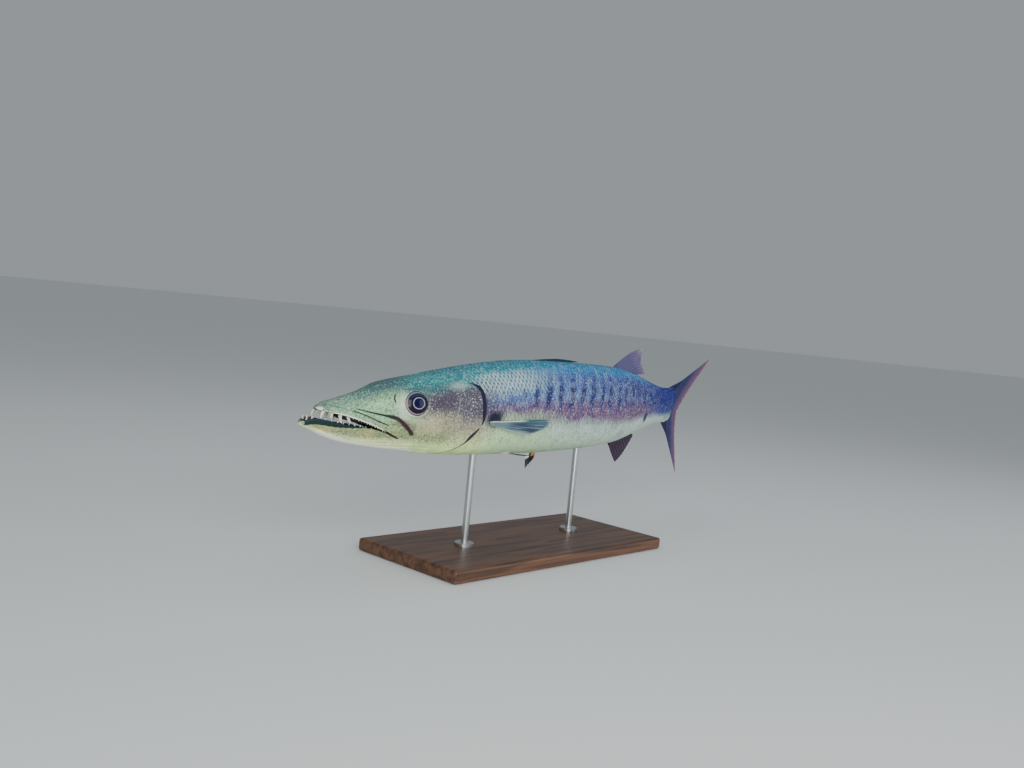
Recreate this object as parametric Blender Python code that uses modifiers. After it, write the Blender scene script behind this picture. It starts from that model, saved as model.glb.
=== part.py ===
"""Great barracuda, life size: a still museum model held level over a wooden base by two rods.

Metres, +Z up. The head points to -X, the tail to +X, and the fish's left side faces -Y.
The origin is the centre of the base's underside. Places on the fish are given as a station
along the body, a height above the body's axis and a distance from the middle plane, all in
percent of the standard length, which runs from the tip of the upper jaw to the tail fin's root.
"""

import math

import bmesh
import bpy
from mathutils import Matrix, Vector

# Driving dimensions: metres and degrees, and percent of the standard length where a name says so.
STANDARD_LENGTH = 0.85
PERCENT = STANDARD_LENGTH / 100
AXIS_HEIGHT = 0.215
STATION_OVER_BASE = 47.0
GAP = 0.0003

# The pose: the tail half swings away to the fish's right, and the tail fin rolls a little.
BEND_START = 45.0
TAIL_TURN = math.radians(13)
TWIST_START = 78.0
TAIL_TWIST = math.radians(10)

# Body outline in percent: station, back, belly, half width.
OUTLINE = (
    (-2.4, -1.6, -2.3, 1.2),
    (0.0, 0.45, -3.35, 1.5),
    (4.0, 1.84, -4.75, 2.15),
    (8.0, 2.95, -5.5, 2.75),
    (10.5, 3.9, -5.82, 3.16),
    (12.0, 4.3, -6.0, 3.4),
    (16.0, 5.02, -6.4, 3.95),
    (21.0, 5.76, -7.0, 4.5),
    (27.0, 6.72, -7.45, 5.0),
    (33.0, 7.55, -7.6, 5.4),
    (40.0, 8.25, -7.65, 5.7),
    (48.0, 8.5, -7.7, 5.75),
    (57.0, 8.4, -7.5, 5.45),
    (66.0, 8.15, -7.15, 4.9),
    (73.0, 7.7, -6.5, 4.2),
    (80.0, 6.45, -5.2, 3.3),
    (86.0, 5.1, -4.25, 2.5),
    (92.0, 4.0, -3.65, 1.9),
    (97.0, 3.8, -3.75, 1.3),
    (100.0, 4.0, -4.0, 0.9),
)
BACK, BELLY, HALF_WIDTH = 1, 2, 3
SIDES = ((1, "left"), (-1, "right"))
FULLNESS = 2.25

# Where the body is parted: head, front and rear of the trunk, tail stalk, tail fin.
HEAD_END = 27.0
TRUNK_MIDDLE = 48.0
TRUNK_END = 73.0
STALK_END = 98.6
GIRTH_SIDES = 36
HEAD_SIDES, PALATE_SIDES = 26, 8
JAW_SIDES, TROUGH_SIDES = 18, 8
HEAD_RINGS = (0.04, 0.3, 0.8, 1.6, 2.8, 4.3, 6.0, 7.6, 9.2, 10.8, 12.2, 13.2, 14.4, 15.6, 16.8)
NECK_RINGS = (17.02, 18.2, 19.7, 21.3, 23.0, 25.0, 27.0)
JAW_RINGS = (-2.4, -2.1, -1.5, -0.6, 0.6, 2.0, 3.6, 5.2, 6.8, 8.4, 10.0, 11.6, 12.6, 13.6, 15.2)

# Mouth, in percent: station and height of each lip. Both run on to the hinge of the jaw.
UPPER_LIP = (
    (0.0, -0.1),
    (1.9, -0.4),
    (4.5, -0.9),
    (7.3, -1.7),
    (8.8, -2.2),
    (11.1, -3.1),
    (13.2, -4.1),
    (16.8, -5.3),
)
LOWER_LIP = (
    (-2.4, -1.9),
    (-1.6, -1.5),
    (-0.5, -1.32),
    (1.0, -1.45),
    (3.0, -1.85),
    (5.4, -2.25),
    (7.4, -2.5),
    (9.0, -2.75),
    (11.1, -3.35),
    (13.2, -4.2),
    (16.8, -5.4),
)
MOUTH_CORNER = 13.2
JAW_HINGE = 16.8
SNOUT_ROUNDING = 1.6
SNOUT_TIP_HEIGHT = 0.15
CHIN_TIP = -2.4
CHIN_ROUNDING = 3.45
PALATE_ARCH = 0.32
THROAT_ANGLE = math.radians(150)
TROUGH_DEPTH = 1.35
TROUGH_FLATNESS = 4
TROUGH_FADE = 4.0
TROUGH_START = 2.0
TROUGH_LIMIT = 0.62
TROUGH_WIDTH = 0.9
TROUGH_BEHIND = 0.6
PALATE_FADE = 5.0
CHIN_START = 1.05
CHIN_LEAST = 0.02

# Eye and nostril.
EYE_STATION = 16.15
EYE_HEIGHT = 1.25
EYE_LENGTH, EYE_TALL, EYE_DEEP = 0.041, 0.0345, 0.020
EYE_SUNK = 0.0050
ORBIT_LENGTH, ORBIT_TALL = 0.0410, 0.0352
ORBIT_RIM = 0.0024
ORBIT_TURNS, ORBIT_SIDES = 24, 6
ORBIT_FLATNESS = 1.3
ORBIT_SINKS = 0.35
NOSTRIL_STATION = 12.6
NOSTRIL_HEIGHT = 1.75
NOSTRIL_SIZE = (0.0022, 0.0050, 0.0036)
BALL_SEGMENTS, BALL_RINGS = 20, 12
NOSTRIL_SEGMENTS, NOSTRIL_RINGS = 10, 6

# Gill cover: its angle round the body, then the stations of its front and rear edges.
GILL_COVER = (
    (49, 24.5, 27.2),
    (55, 24.6, 28.4),
    (63, 24.7, 29.1),
    (76, 24.6, 29.5),
    (89, 24.4, 29.6),
    (97, 24.1, 29.4),
    (109, 23.5, 28.4),
    (124, 22.4, 27.0),
    (138, 21.1, 25.4),
    (150, 19.8, 23.9),
    (172, 18.2, 20.4),
)
COVER_GAP = 0.0005
COVER_STEPS = (20, 6)
COVER_FRONT_THICK = 0.0008
COVER_REAR_THICK = 0.0028

# Upper-jaw bone beside the mouth: its upper and lower edges as station and height in percent.
MAXILLA_TOP = ((6.0, 0.2), (8.6, -0.3), (11.4, -0.8), (13.0, -1.3), (14.6, -2.4), (16.0, -3.5))
MAXILLA_BOTTOM = ((5.7, -0.1), (7.9, -0.9), (10.4, -2.0), (12.3, -3.1), (13.8, -3.75), (15.8, -4.1))
MAXILLA_RAISED = 0.0012
MAXILLA_STEPS = (9, 3)
PLATE_ROOT = 0.0020

# Teeth: station of the first and last, how many a side, longest, place across the lip, and the
# longest as a share of the gape.
TOOTH_SIDES = 6
TOOTH_SUNK = 0.0022
UPPER_FANGS = (0.7, 4.6, 4, 0.0118, 0.74, 1.25)
UPPER_SMALL = (5.5, 11.2, 10, 0.0026, 0.93, 0.70)
PALATE_FANGS = (5.6, 8.2, 3, 0.0070, 0.60, 0.90)
LOWER_FANGS = (-1.4, -0.6, 2, 0.0052, 0.50, 9.0)
LOWER_SIDE = (1.2, 8.2, 8, 0.0042, 0.86, 0.75)
PALATE_DEPTH = 0.28
LOWER_DEPTH = -0.05
UPPER_LEAN, LOWER_LEAN = 0.12, 0.15
TOOTH_SPLAY = 0.10
TOOTH_WIDTH = 0.17
TOOTH_VARIES = 0.16
TOOTH_TIP = 0.0002
NARROWEST = 0.5

# Fins in the middle plane: the root's first and last station, the outer edge's three control
# points in percent, the number of rays, half the root's thickness and the front ray's bow.
FIN_EDGE = 0.00055
RAY_RIDGE = 0.0005
FIN_ROWS = 7
ROOT_FADE = 2.2
FIRST_DORSAL = ((43.5, 54.5), ((52.0, 8.98), (56.0, 8.95), (59.0, 8.58)), 5, 0.0018, 0.06)
SECOND_DORSAL = ((71.0, 79.6), ((81.7, 11.9), (82.3, 9.2), (84.2, 6.8)), 10, 0.0024, 0.75)
ANAL = ((71.7, 80.6), ((75.2, -11.0), (79.2, -9.7), (82.1, -5.9)), 9, 0.0024, -0.2)
CAUDAL_SPLIT = -0.3
CAUDAL_FORK = (105.0, -1.6)
CAUDAL_RAYS = 9
CAUDAL_ROOT_HALF = 0.0062
CAUDAL_UPPER = (3.8, (119.9, 10.95), (110.0, 3.9), 0.2)
CAUDAL_LOWER = (-3.85, (118.3, -17.9), (107.4, -6.9), -0.35)

# Pectoral fins: station of the root, length of the first ray, how much shorter the last one is,
# the angle round the body of the first ray and what the last adds, and the lift off the flank.
PECTORAL_ROOT = 31.5
PECTORAL_ROOT_SLANT = 0.5
PECTORAL_LENGTH = 12.6
PECTORAL_TAPER = 0.52
PECTORAL_TAPER_POWER = 1.6
PECTORAL_DEGREES = (97.5, 9.5)
PECTORAL_DROOP = (3.0, 4.5)
PECTORAL_DROOP_POWER = 1.2
PECTORAL_LIFT = (0.0030, 0.0045)
PECTORAL_RAYS = 8
PECTORAL_ROOT_HALF = 0.0025

# Pelvic fins: as start and what the last ray adds. The left is folded to the belly, and the
# right one follows the belly and then drops its outer part.
PELVIC_CLEAR = 0.0028
PELVIC_ROOT = (38.0, 2.4)
PELVIC_DEGREES = (158.0, 6.0)
PELVIC_RAYS = 6
PELVIC_ROOT_HALF = 0.0016
FOLDED_END = (45.0, -1.9)
FOLDED_DEGREES = (161.0, 5.0)
FOLDED_LIFT = (0.0062, -0.0016)
FOLDED_BULGE = 0.0042
LOWERED_END = (47.4, 2.2)
LOWERED_DEGREES = (176.0, 0.0)
LOWERED_LIFT = (0.0028, 0.0012)
LOWERED_DROP = (0.0240, -0.0165)
LOWERED_DROP_POWER = 4

# Stand.
BASE_SIZE = (0.46, 0.20, 0.018)
BASE_BEVEL = 0.004
BASE_BEVEL_STEPS = 3
ROD_RADIUS = 0.005
FOOT_RADIUS = 0.014
FOOT_HEIGHT = 0.005
ROD_STATIONS = {"front": 33.0, "rear": 61.0}
ROD_SUNK = 0.014
ROD_EDGE = 0.001
HOLE_REACH = 0.05
HOLE_CLEAR = 1.3 * GAP
ROD_SIDES = 20
WELD = 0.00005


def between(table, station, column=1):
    """The smooth value of one column of a table at a station: cubic, with slopes from neighbours."""
    stations = [row[0] for row in table]
    values = [row[column] for row in table]
    last = len(table) - 1

    def slope(i):
        low, high = max(i - 1, 0), min(i + 1, last)
        return (values[high] - values[low]) / (stations[high] - stations[low])

    station = min(max(station, stations[0]), stations[last])
    i = min(sum(1 for x in stations[1:] if x <= station), last - 1)
    span = stations[i + 1] - stations[i]
    t = (station - stations[i]) / span
    return (
        (2 * t**3 - 3 * t**2 + 1) * values[i]
        + (t**3 - 2 * t**2 + t) * span * slope(i)
        + (3 * t**2 - 2 * t**3) * values[i + 1]
        + (t**3 - t**2) * span * slope(i + 1)
    )


def ease(t):
    """Smooth step from 0 to 1."""
    t = min(max(t, 0.0), 1.0)
    return t * t * (3 - 2 * t)


def steps(count):
    """Evenly spaced numbers from 0 to 1, ends included."""
    return [i / count for i in range(count + 1)]


def place(station, across, height):
    """World point of a station, distance to the fish's left and height, all in percent."""
    start = (BEND_START - STATION_OVER_BASE) * PERCENT
    beyond = (station - BEND_START) * PERCENT
    turn = 0.0
    x, y = (station - STATION_OVER_BASE) * PERCENT, 0.0
    if beyond > 0:
        curve = TAIL_TURN / ((100 - BEND_START) * PERCENT)
        turn = curve * beyond
        x = start + math.sin(turn) / curve
        y = (1 - math.cos(turn)) / curve
    roll = TAIL_TWIST * ease((station - TWIST_START) / (100 - TWIST_START))
    left = (across * math.cos(roll) + height * math.sin(roll)) * PERCENT
    up = (height * math.cos(roll) - across * math.sin(roll)) * PERCENT
    return Vector((x + left * math.sin(turn), y - left * math.cos(turn), AXIS_HEIGHT + up))


def section(station, angle):
    """Across and height, in percent, of the skin at an angle from the back round the left side."""
    back, belly = between(OUTLINE, station, BACK), between(OUTLINE, station, BELLY)
    middle = (back + belly) / 2
    round_off = 2 / FULLNESS
    across = math.copysign(abs(math.sin(angle)) ** round_off, math.sin(angle))
    up = math.copysign(abs(math.cos(angle)) ** round_off, math.cos(angle))
    return across * between(OUTLINE, station, HALF_WIDTH), middle + (back - belly) / 2 * up


def angle_at(station, height):
    """The angle on the left side at which the skin passes a height."""
    back, belly = between(OUTLINE, station, BACK), between(OUTLINE, station, BELLY)
    share = (height - (back + belly) / 2) / ((back - belly) / 2)
    share = min(max(share, -0.999), 0.999)
    return math.acos(math.copysign(abs(share) ** (FULLNESS / 2), share))


def skin(station, angle, lift=0.0, side=1):
    """Point on the skin, lifted off it along its normal by metres. Side is 1 left, -1 right."""
    def at(s, a):
        across, height = section(s, a)
        return place(s, side * across, height)

    point = at(station, angle)
    along = at(station + 0.4, angle) - at(station - 0.4, angle)
    around = at(station, angle + 0.03) - at(station, angle - 0.03)
    normal = around.cross(along).normalized() * side
    return point + normal * lift, normal


def material(name, colour, roughness, metallic=0.0):
    """A plain Principled material."""
    made = bpy.data.materials.new(name)
    made.use_nodes = True
    shader = made.node_tree.nodes["Principled BSDF"]
    shader.inputs["Base Color"].default_value = (*colour, 1.0)
    shader.inputs["Roughness"].default_value = roughness
    shader.inputs["Metallic"].default_value = metallic
    return made


def mesh_object(name, points, faces, finish, home):
    """A mesh object from points and faces, its faces turned outwards."""
    mesh = bpy.data.meshes.new(name)
    mesh.from_pydata([tuple(p) for p in points], [], faces)
    shell = bmesh.new()
    shell.from_mesh(mesh)
    bmesh.ops.recalc_face_normals(shell, faces=shell.faces)
    shell.to_mesh(mesh)
    shell.free()
    mesh.shade_smooth()
    mesh.set_sharp_from_angle(angle=math.radians(40))
    made = bpy.data.objects.new(name, mesh)
    made.data.materials.append(finish)
    home.objects.link(made)
    return made


def loft(name, rings, finish, home):
    """A closed skin through rings of equal count, with a fan over each end."""
    count = len(rings[0])
    points = [p for ring in rings for p in ring]
    faces = []
    for i in range(len(rings) - 1):
        for j in range(count):
            a, b = i * count + j, i * count + (j + 1) % count
            faces += [(a, b, b + count), (a, b + count, a + count)]
    for first, ring in ((0, rings[0]), ((len(rings) - 1) * count, rings[-1])):
        points.append(sum(ring, Vector()) / count)
        hub = len(points) - 1
        faces += [(hub, first + j, first + (j + 1) % count) for j in range(count)]
    return mesh_object(name, points, faces, finish, home)


def plate(name, outer, inner, finish, home):
    """A closed thin plate between two grids of points, split into triangles alike on both faces."""
    rows, columns = len(outer), len(outer[0])
    points = [p for grid in (outer, inner) for row in grid for p in row]
    under = rows * columns
    faces = []
    for i in range(rows - 1):
        for j in range(columns - 1):
            a = i * columns + j
            b, c, d = a + 1, a + columns + 1, a + columns
            faces += [(a, b, c), (a, c, d)]
            faces += [(under + a, under + c, under + b), (under + a, under + d, under + c)]
    border = [j for j in range(columns)]
    border += [i * columns + columns - 1 for i in range(1, rows)]
    border += [(rows - 1) * columns + j for j in range(columns - 2, -1, -1)]
    border += [i * columns for i in range(rows - 2, 0, -1)]
    for a, b in zip(border, border[1:] + border[:1]):
        faces += [(a, under + a, under + b), (a, under + b, b)]
    return mesh_object(name, points, faces, finish, home)


def fin(name, grid, root_half, finish, home, edge_half=FIN_EDGE, ridge=RAY_RIDGE):
    """A fin on a grid of points, root row first. Every second column is a ray, raised as a ridge."""
    rows, columns = len(grid), len(grid[0])
    outer, inner = [], []
    for i, row in enumerate(grid):
        out_row, in_row = [], []
        v = i / (rows - 1)
        for j, point in enumerate(row):
            along = grid[min(i + 1, rows - 1)][j] - grid[max(i - 1, 0)][j]
            beside = row[min(j + 1, columns - 1)] - row[max(j - 1, 0)]
            normal = along.cross(beside).normalized()
            half = edge_half + (root_half - edge_half) * (1 - v) ** ROOT_FADE
            if j % 2 == 1:
                half += ridge * (1 - 0.55 * v)
            out_row.append(point + normal * half)
            in_row.append(point - normal * half)
        outer.append(out_row)
        inner.append(in_row)
    return plate(name, outer, inner, finish, home)


def curve_point(ends, t):
    """Point on a quadratic curve through its start, towards its middle, to its end."""
    start, middle, end = ends
    return tuple(
        (1 - t) ** 2 * a + 2 * t * (1 - t) * b + t * t * c for a, b, c in zip(start, middle, end)
    )


def middle_fin(name, root, margin, rays, root_half, finish, home, bow=0.0):
    """A fin in the middle plane. Root and margin give station and height in percent for each ray."""
    grid = []
    for v in steps(FIN_ROWS):
        row = []
        for u in steps(2 * rays):
            (s0, z0), (s1, z1) = root(u), margin(u)
            lift = bow * (1 - u) * 4 * v * (1 - v)
            row.append(place(s0 + (s1 - s0) * v, 0.0, z0 + (z1 - z0) * v + lift))
        grid.append(row)
    return fin(name, grid, root_half, finish, home)


def boolean(target, operation, others, name):
    """Applies one Boolean of a group of closed meshes to the target and removes the group."""
    group = bpy.data.collections.new(name)
    bpy.context.scene.collection.children.link(group)
    for other in others:
        for home in list(other.users_collection):
            home.objects.unlink(other)
        group.objects.link(other)
    change = target.modifiers.new(name, "BOOLEAN")
    change.operation = operation
    change.operand_type = "COLLECTION"
    change.collection = group
    change.solver = "EXACT"
    bpy.context.view_layer.update()
    graph = bpy.context.evaluated_depsgraph_get()
    made = bpy.data.meshes.new_from_object(target.evaluated_get(graph))
    target.modifiers.remove(change)
    target.data = made
    for other in others:
        bpy.data.objects.remove(other)
    bpy.data.collections.remove(group)
    return target


def keep_largest(made):
    """Keeps only the largest closed surface of a mesh, and welds points that coincide."""
    shell = bmesh.new()
    shell.from_mesh(made.data)
    bmesh.ops.remove_doubles(shell, verts=shell.verts, dist=1e-6)
    bmesh.ops.triangulate(shell, faces=shell.faces)
    left = set(shell.verts)
    islands = []
    while left:
        island, front = set(), [left.pop()]
        while front:
            vert = front.pop()
            island.add(vert)
            for edge in vert.link_edges:
                other = edge.other_vert(vert)
                if other in left:
                    left.remove(other)
                    front.append(other)
        islands.append(island)
    islands.sort(key=len)
    scraps = [vert for island in islands[:-1] for vert in island]
    bmesh.ops.delete(shell, geom=scraps, context="VERTS")
    shell.to_mesh(made.data)
    shell.free()


def ellipsoid(name, centre, axes, finish, home, segments=BALL_SEGMENTS, rings=BALL_RINGS):
    """An ellipsoid from a sphere. Axes are three perpendicular vectors, each a half length."""
    mesh = bpy.data.meshes.new(name)
    shell = bmesh.new()
    bmesh.ops.create_uvsphere(shell, u_segments=segments, v_segments=rings, radius=1.0)
    frame = Matrix([axes[0], axes[1], axes[2]]).transposed().to_4x4()
    bmesh.ops.transform(shell, matrix=Matrix.Translation(centre) @ frame, verts=shell.verts)
    bmesh.ops.recalc_face_normals(shell, faces=shell.faces)
    shell.to_mesh(mesh)
    shell.free()
    mesh.shade_smooth()
    made = bpy.data.objects.new(name, mesh)
    made.data.materials.append(finish)
    home.objects.link(made)
    return made


def ring_round(name, centre, long_axis, tall_axis, radius, finish, home):
    """An oval ring of round section, for the rim of the eye socket."""
    normal = long_axis.cross(tall_axis).normalized()
    points, faces = [], []
    turns, sides = ORBIT_TURNS, ORBIT_SIDES
    for i in range(turns):
        a = 2 * math.pi * i / turns
        spot = centre + long_axis * math.cos(a) + tall_axis * math.sin(a)
        out = (long_axis * math.cos(a) + tall_axis * math.sin(a)).normalized()
        for j in range(sides):
            b = 2 * math.pi * j / sides
            wide = out * radius * ORBIT_FLATNESS * math.cos(b)
            points.append(spot + wide + normal * radius * math.sin(b))
    for i in range(turns):
        for j in range(sides):
            k, m = (i + 1) % turns, (j + 1) % sides
            faces.append((i * sides + j, i * sides + m, k * sides + m, k * sides + j))
    return mesh_object(name, points, faces, finish, home)


def eye_frame(side):
    """Surface point, outward normal and the two in-plane directions at an eye."""
    point, normal = skin(EYE_STATION, angle_at(EYE_STATION, EYE_HEIGHT), side=side)
    ahead = place(EYE_STATION - 1, 0, 0) - place(EYE_STATION, 0, 0)
    ahead = (ahead - normal * ahead.dot(normal)).normalized()
    return point, normal, ahead, normal.cross(ahead).normalized()


def eye(name, side, grow, finish, home):
    """One eyeball, or with grow the hollow that holds it."""
    point, normal, ahead, up = eye_frame(side)
    axes = (
        ahead * (EYE_LENGTH / 2 + grow),
        up * (EYE_TALL / 2 + grow),
        normal * (EYE_DEEP / 2 + grow),
    )
    if side < 0:
        axes = (axes[1], axes[0], axes[2])
    return ellipsoid(name, point - normal * EYE_SUNK, axes, finish, home)


def lip_spot(table, station, share, depth=0.0):
    """Across and height of a spot near a lip: share of the way out from the middle plane."""
    height = between(table, station)
    across, _ = section(station, angle_at(station, height))
    return across * share, height + depth


def chin_round(station):
    """How much narrower the chin is than the full outline near its tip."""
    reach = max(CHIN_START - station, 0.0) / CHIN_ROUNDING
    return math.sqrt(max(1 - reach * reach, CHIN_LEAST))


def snout_round(station):
    """How much the snout shrinks towards its tip."""
    reach = max(SNOUT_ROUNDING - station, 0.0) / SNOUT_ROUNDING
    return math.sqrt(max(1 - reach * reach, 0.0))


def head_ring(station, hinged):
    """One ring of the head: over the back from lip to lip, then under the palate or throat."""
    open_mouth = station < MOUTH_CORNER
    lip = between(UPPER_LIP, station)
    edge = angle_at(station, lip) if hinged else THROAT_ANGLE
    ring = []
    for t in steps(HEAD_SIDES):
        ring.append(section(station, edge * (1 - 2 * t)))
    left, height = ring[0]
    arch = 0.0
    if open_mouth:
        fade = ease((MOUTH_CORNER - station) / PALATE_FADE)
        arch = PALATE_ARCH * (between(OUTLINE, station, BACK) - lip) * fade
    for t in steps(PALATE_SIDES)[1:-1]:
        if hinged:
            ring.append((-left * (1 - 2 * t), height + arch * (1 - (2 * t - 1) ** TROUGH_FLATNESS)))
        else:
            ring.append(section(station, 2 * math.pi - edge - t * 2 * (math.pi - edge)))
    shrink = snout_round(station)
    return [
        place(station, a * shrink, SNOUT_TIP_HEIGHT + (h - SNOUT_TIP_HEIGHT) * shrink)
        for a, h in ring
    ]


def jaw_ring(station):
    """One ring of the lower jaw: round the outside from lip to lip, then through the trough."""
    lip = between(LOWER_LIP, station)
    edge = angle_at(station, lip)
    narrow = chin_round(station)
    ring = []
    for t in steps(JAW_SIDES):
        across, height = section(station, edge + t * 2 * (math.pi - edge))
        ring.append((across * narrow, min(height, lip)))
    left = ring[0][0]
    depth = TROUGH_DEPTH * ease((MOUTH_CORNER - TROUGH_BEHIND - station) / TROUGH_FADE)
    depth *= ease((station - CHIN_TIP) / TROUGH_START)
    depth = min(depth, TROUGH_LIMIT * (lip - between(OUTLINE, station, BELLY)))
    for t in steps(TROUGH_SIDES)[1:-1]:
        across = -left * (1 - 2 * t)
        ring.append((across * TROUGH_WIDTH, lip - depth * (1 - abs(2 * t - 1) ** TROUGH_FLATNESS)))
    return [place(station, a, h) for a, h in ring]


def tooth(spot, direction, length, number, finish, home):
    """One pointed tooth, its root sunk into the jaw."""
    name = f"tooth_{number}"
    mesh = bpy.data.meshes.new(name)
    shell = bmesh.new()
    whole = length + TOOTH_SUNK
    bmesh.ops.create_cone(
        shell,
        cap_ends=True,
        cap_tris=True,
        segments=TOOTH_SIDES,
        radius1=TOOTH_WIDTH * length + GAP,
        radius2=TOOTH_TIP,
        depth=whole,
    )
    turn = Vector((0, 0, 1)).rotation_difference(direction).to_matrix().to_4x4()
    middle = spot + direction * (whole / 2 - TOOTH_SUNK)
    bmesh.ops.transform(shell, matrix=Matrix.Translation(middle) @ turn, verts=shell.verts)
    shell.to_mesh(mesh)
    shell.free()
    made = bpy.data.objects.new(name, mesh)
    made.data.materials.append(finish)
    home.objects.link(made)
    return made


def tooth_row(plan, table, toward, lean, depth, finish, home):
    """A row of teeth on both sides. Toward is 1 for the lower jaw's and -1 for the upper jaw's."""
    first, last, count, longest, share, clear = plan
    made = []
    for i, t in enumerate(steps(count - 1)):
        station = first + (last - first) * t
        gape = (between(UPPER_LIP, station) - between(LOWER_LIP, station)) * PERCENT
        vary = 1 - TOOTH_VARIES * (i % 3)
        length = min(longest * vary, clear * gape)
        across, height = lip_spot(table, station, share, depth)
        across *= chin_round(station) if toward > 0 else max(snout_round(station), NARROWEST)
        for side in (1, -1):
            direction = Vector((lean, side * TOOTH_SPLAY, toward)).normalized()
            spot = place(station, side * across, height)
            made.append(tooth(spot, direction, length, len(made), finish, home))
    return made


def raised_bone(name, side, finish, home):
    """The upper-jaw bone: a thin plate that stands a little proud of the cheek."""
    outer, inner = [], []
    for u in steps(MAXILLA_STEPS[0]):
        top = MAXILLA_TOP[0][0] + (MAXILLA_TOP[-1][0] - MAXILLA_TOP[0][0]) * u
        low = MAXILLA_BOTTOM[0][0] + (MAXILLA_BOTTOM[-1][0] - MAXILLA_BOTTOM[0][0]) * u
        high_z, low_z = between(MAXILLA_TOP, top), between(MAXILLA_BOTTOM, low)
        out_row, in_row = [], []
        for v in steps(MAXILLA_STEPS[1]):
            station = top + (low - top) * v
            angle = angle_at(station, high_z + (low_z - high_z) * v)
            out_row.append(skin(station, angle, MAXILLA_RAISED, side)[0])
            in_row.append(skin(station, angle, -PLATE_ROOT, side)[0])
        outer.append(out_row)
        inner.append(in_row)
    return plate(name, outer, inner, finish, home)


def gill_cover(name, side, finish, home):
    """The plate over the gills: thin at its front, thick and lifted at its rear edge."""
    outer, inner = [], []
    first, last = GILL_COVER[0][0], GILL_COVER[-1][0]
    for u in steps(COVER_STEPS[0]):
        degrees = first + (last - first) * u
        front, rear = between(GILL_COVER, degrees, 1), between(GILL_COVER, degrees, 2)
        out_row, in_row = [], []
        for v in steps(COVER_STEPS[1]):
            station = front + (rear - front) * v
            thick = COVER_FRONT_THICK + (COVER_REAR_THICK - COVER_FRONT_THICK) * v
            angle = math.radians(degrees)
            out_row.append(skin(station, angle, COVER_GAP + thick, side)[0])
            in_row.append(skin(station, angle, COVER_GAP, side)[0])
        outer.append(out_row)
        inner.append(in_row)
    return plate(name, outer, inner, finish, home)


def full_ring(station):
    """One ring of the trunk or tail stalk."""
    return [
        place(station, *section(station, 2 * math.pi * (0.5 + i) / GIRTH_SIDES))
        for i in range(GIRTH_SIDES)
    ]


def body_length(name, start, end, rings, finish, home):
    """A length of the body between two stations, a gap short at its front."""
    start += GAP / PERCENT
    return loft(name, [full_ring(start + (end - start) * t) for t in steps(rings)], finish, home)


def head(finishes, home):
    """Skull, cheeks and upper jaw, with rims and hollows for the eyes, nostrils and teeth."""
    rings = [head_ring(s, True) for s in HEAD_RINGS] + [head_ring(s, False) for s in NECK_RINGS]
    made = loft("head", rings, finishes["skin"], home)
    extras = []
    cutters = []
    for side, word in SIDES:
        point, normal, ahead, up = eye_frame(side)
        rim = ring_round(
            f"rim_{word}",
            point - normal * ORBIT_RIM * ORBIT_SINKS,
            ahead * ORBIT_LENGTH / 2,
            up * ORBIT_TALL / 2 * side,
            ORBIT_RIM,
            finishes["skin"],
            home,
        )
        extras += [rim, raised_bone(f"maxilla_{word}", side, finishes["skin"], home)]
        cutters.append(eye(f"socket_{word}", side, GAP, finishes["skin"], home))
        spot, out = skin(
            NOSTRIL_STATION, angle_at(NOSTRIL_STATION, NOSTRIL_HEIGHT), side=side
        )
        tall = out.cross(Vector((1, 0, 0))).normalized()
        axes = (out.cross(tall) * NOSTRIL_SIZE[0], tall * NOSTRIL_SIZE[1], out * NOSTRIL_SIZE[2])
        hollow = ellipsoid(
            f"nostril_{word}", spot, axes, finishes["skin"], home, NOSTRIL_SEGMENTS, NOSTRIL_RINGS
        )
        cutters.append(hollow)
    for plan, depth in ((UPPER_FANGS, 0.0), (UPPER_SMALL, 0.0), (PALATE_FANGS, PALATE_DEPTH)):
        extras += tooth_row(plan, UPPER_LIP, -1, UPPER_LEAN, depth, finishes["tooth"], home)
    boolean(made, "UNION", extras, "head_pieces")
    boolean(made, "DIFFERENCE", cutters, "head_hollows")
    keep_largest(made)
    return made


def lower_jaw(finishes, home):
    """The lower jaw: a trough that reaches past the snout, with its teeth."""
    end = JAW_HINGE - GAP / PERCENT
    rings = [jaw_ring(s) for s in (*JAW_RINGS, end)]
    made = loft("lower_jaw", rings, finishes["skin"], home)
    teeth = tooth_row(LOWER_FANGS, LOWER_LIP, 1, LOWER_LEAN, LOWER_DEPTH, finishes["tooth"], home)
    teeth += tooth_row(LOWER_SIDE, LOWER_LIP, 1, LOWER_LEAN, LOWER_DEPTH, finishes["tooth"], home)
    boolean(made, "UNION", teeth, "jaw_teeth")
    keep_largest(made)
    return made


def rod_top(station):
    """Where a rod ends inside the body: x, y and height."""
    belly = place(station, 0, between(OUTLINE, station, BELLY))
    return belly.x, belly.y, belly.z + ROD_SUNK


def socket_cutter(name, station, finish, home):
    """The blind hole in the belly for a rod, a gap wider and deeper than the rod."""
    x, y, top = rod_top(station)
    depth = HOLE_REACH
    mesh = bpy.data.meshes.new(name)
    shell = bmesh.new()
    bmesh.ops.create_cone(
        shell,
        cap_ends=True,
        segments=ROD_SIDES,
        radius1=ROD_RADIUS + HOLE_CLEAR,
        radius2=ROD_RADIUS + HOLE_CLEAR,
        depth=depth,
    )
    middle = Matrix.Translation((x, y, top + GAP - depth / 2))
    bmesh.ops.transform(shell, matrix=middle, verts=shell.verts)
    shell.to_mesh(mesh)
    shell.free()
    made = bpy.data.objects.new(name, mesh)
    made.data.materials.append(finish)
    home.objects.link(made)
    return made


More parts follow.
